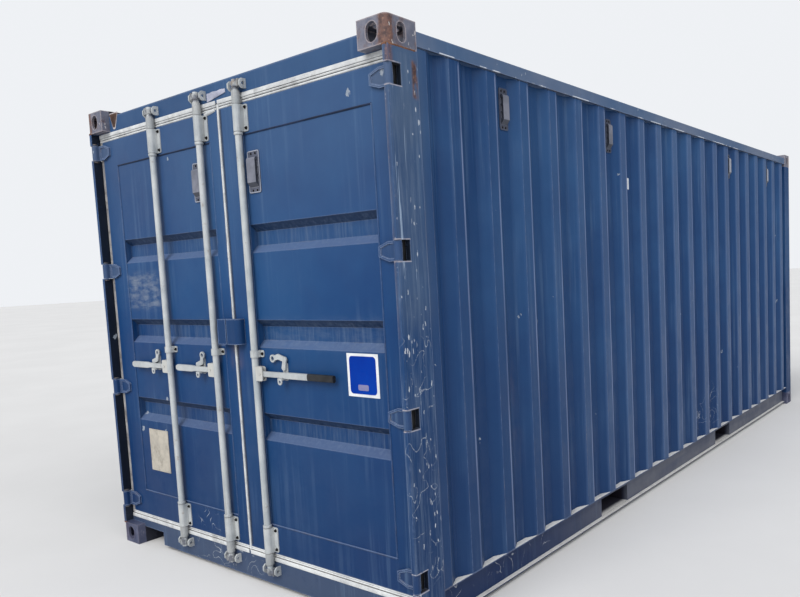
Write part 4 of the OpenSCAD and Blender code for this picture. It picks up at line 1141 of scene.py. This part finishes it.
def vent_screws():
    """Two dark screws above and below each ventilator hood"""
    model = rivet_model(0.005)
    for vent, body in (("left_door_vent", "left_door"), ("right_door_vent", "right_door")):
        low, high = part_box(vent)
        middle, front = (low.x + high.x) / 2, PANEL_FACE - 0.003
        places = [((middle + dx, front, z), FLAT) for dx in (-0.016, 0.016)
                  for z in (low.z + 0.012, high.z - 0.014)]
        hand_over(repeat(model, places, vent + "_screws"), DARK_BOLT, body)
    low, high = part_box("wall_vents")
    places = []
    for side in (-1, 1):
        for y in WALL_VENT_Y:
            for dy in (-0.013, 0.013):
                for z in (low.z + 0.012, high.z - 0.014):
                    places.append(((side * (WALL_FACE - WALL_DEPTH + 0.003), y + dy, z),
                                   (0, 0, side * math.pi / 2)))
    piece = repeat(model, places, "wall_vent_screws")
    hand_over(piece, DARK_BOLT, "container_frame")
    drop(model)


def corner_welds():
    """Beads where the posts meet their castings"""
    size = 0.0065
    front_run = weld_model(0.024, size)
    side_run = weld_model(CASTING_L - 0.02, size)
    places_front, places_side = [], []
    quarter = math.pi / 2
    for z in (CASTING_H, TOP - CASTING_H):
        for s in (-1, 1):
            places_front.append(((s * (HALF_W - 0.017), REAR + 0.0025, z), FLAT))
            places_side.append(((s * (HALF_W - 0.0025), REAR + CASTING_L / 2, z),
                                (0, 0, s * quarter)))
    front = repeat(front_run, places_front, "post_welds_rear")
    side = repeat(side_run, places_side, "post_welds_side")
    for piece in (front, side):
        hand_over(piece, RUSTY_WELD, "container_frame")
    drop(front_run, side_run)


def hinge_caps():
    """Washers and peened ends of the hinge pins above and below the lugs"""
    cap = start_rod("cap_model", FLAT, 0.013, 0.003, 16)
    pick_faces(cap, lambda c, n: abs(n.z) > 0.9)
    bpy.ops.mesh.inset(thickness=0.004, depth=0.0)
    bpy.ops.mesh.inset(thickness=0.002, depth=0.0012)
    leave_edit()
    places = [((s * PIN[0], PIN[1], z + d * (LUG_HALF + 0.0015)), FLAT)
              for s in (-1, 1) for z in HINGE_Z for d in (-1, 1)]
    piece = repeat(cap, places, "hinge_pin_caps")
    hand_over(smooth(piece), MATERIALS["pin_steel"], "container_frame")
    drop(cap)


def wall_marks():
    """Three small blank stickers on the right wall"""
    x = WALL_FACE - WALL_DEPTH
    for name, y, z0, z1, width, tone in (
            ("wall_sticker_near", -0.795, 2.035, 2.108, 0.022, LABEL_WHITE),
            ("wall_sticker_yellow", 2.5817, 1.405, 1.560, 0.050, YELLOW),
            ("wall_sticker_far", 2.5817, 1.140, 1.270, 0.046, LABEL_WHITE)):
        sticker = start_block(name, (x - 0.0002, y - width / 2, z0),
                              (x + 0.0008, y + width / 2, z1))
        round_picked(sticker, lambda a, b: abs(a.x - b.x) > 0.0001, 0.006, 3)
        hand_over(sticker, tone, "container_frame")


def make_floor():
    deselect()
    bpy.ops.mesh.primitive_plane_add(size=160, location=(0, 0, -0.0005))
    ground = bpy.context.active_object
    ground.name = "ground"
    material, r, shader = start_material("pale ground")
    cloud = r.group(EFFECTS["patches"], size=0.5)
    colour = r.blend(cloud, (0.70, 0.69, 0.68, 1), (0.73, 0.72, 0.71, 1))
    r.feed(shader.inputs["Base Color"], colour)
    shader.inputs["Roughness"].default_value = 0.9
    ground.data.materials.append(material)


place_camera()
light_studio()
bpy.context.scene.view_settings.view_transform = "Standard"
make_floor()
dress_cad_nodes()
guide_bolts()
guide_bushings()
panel_beads()
door_seals()
loose_seals()
header_gusset()
label_plate()
plate_rivets()
vent_screws()
corner_welds()
hinge_caps()
wall_marks()
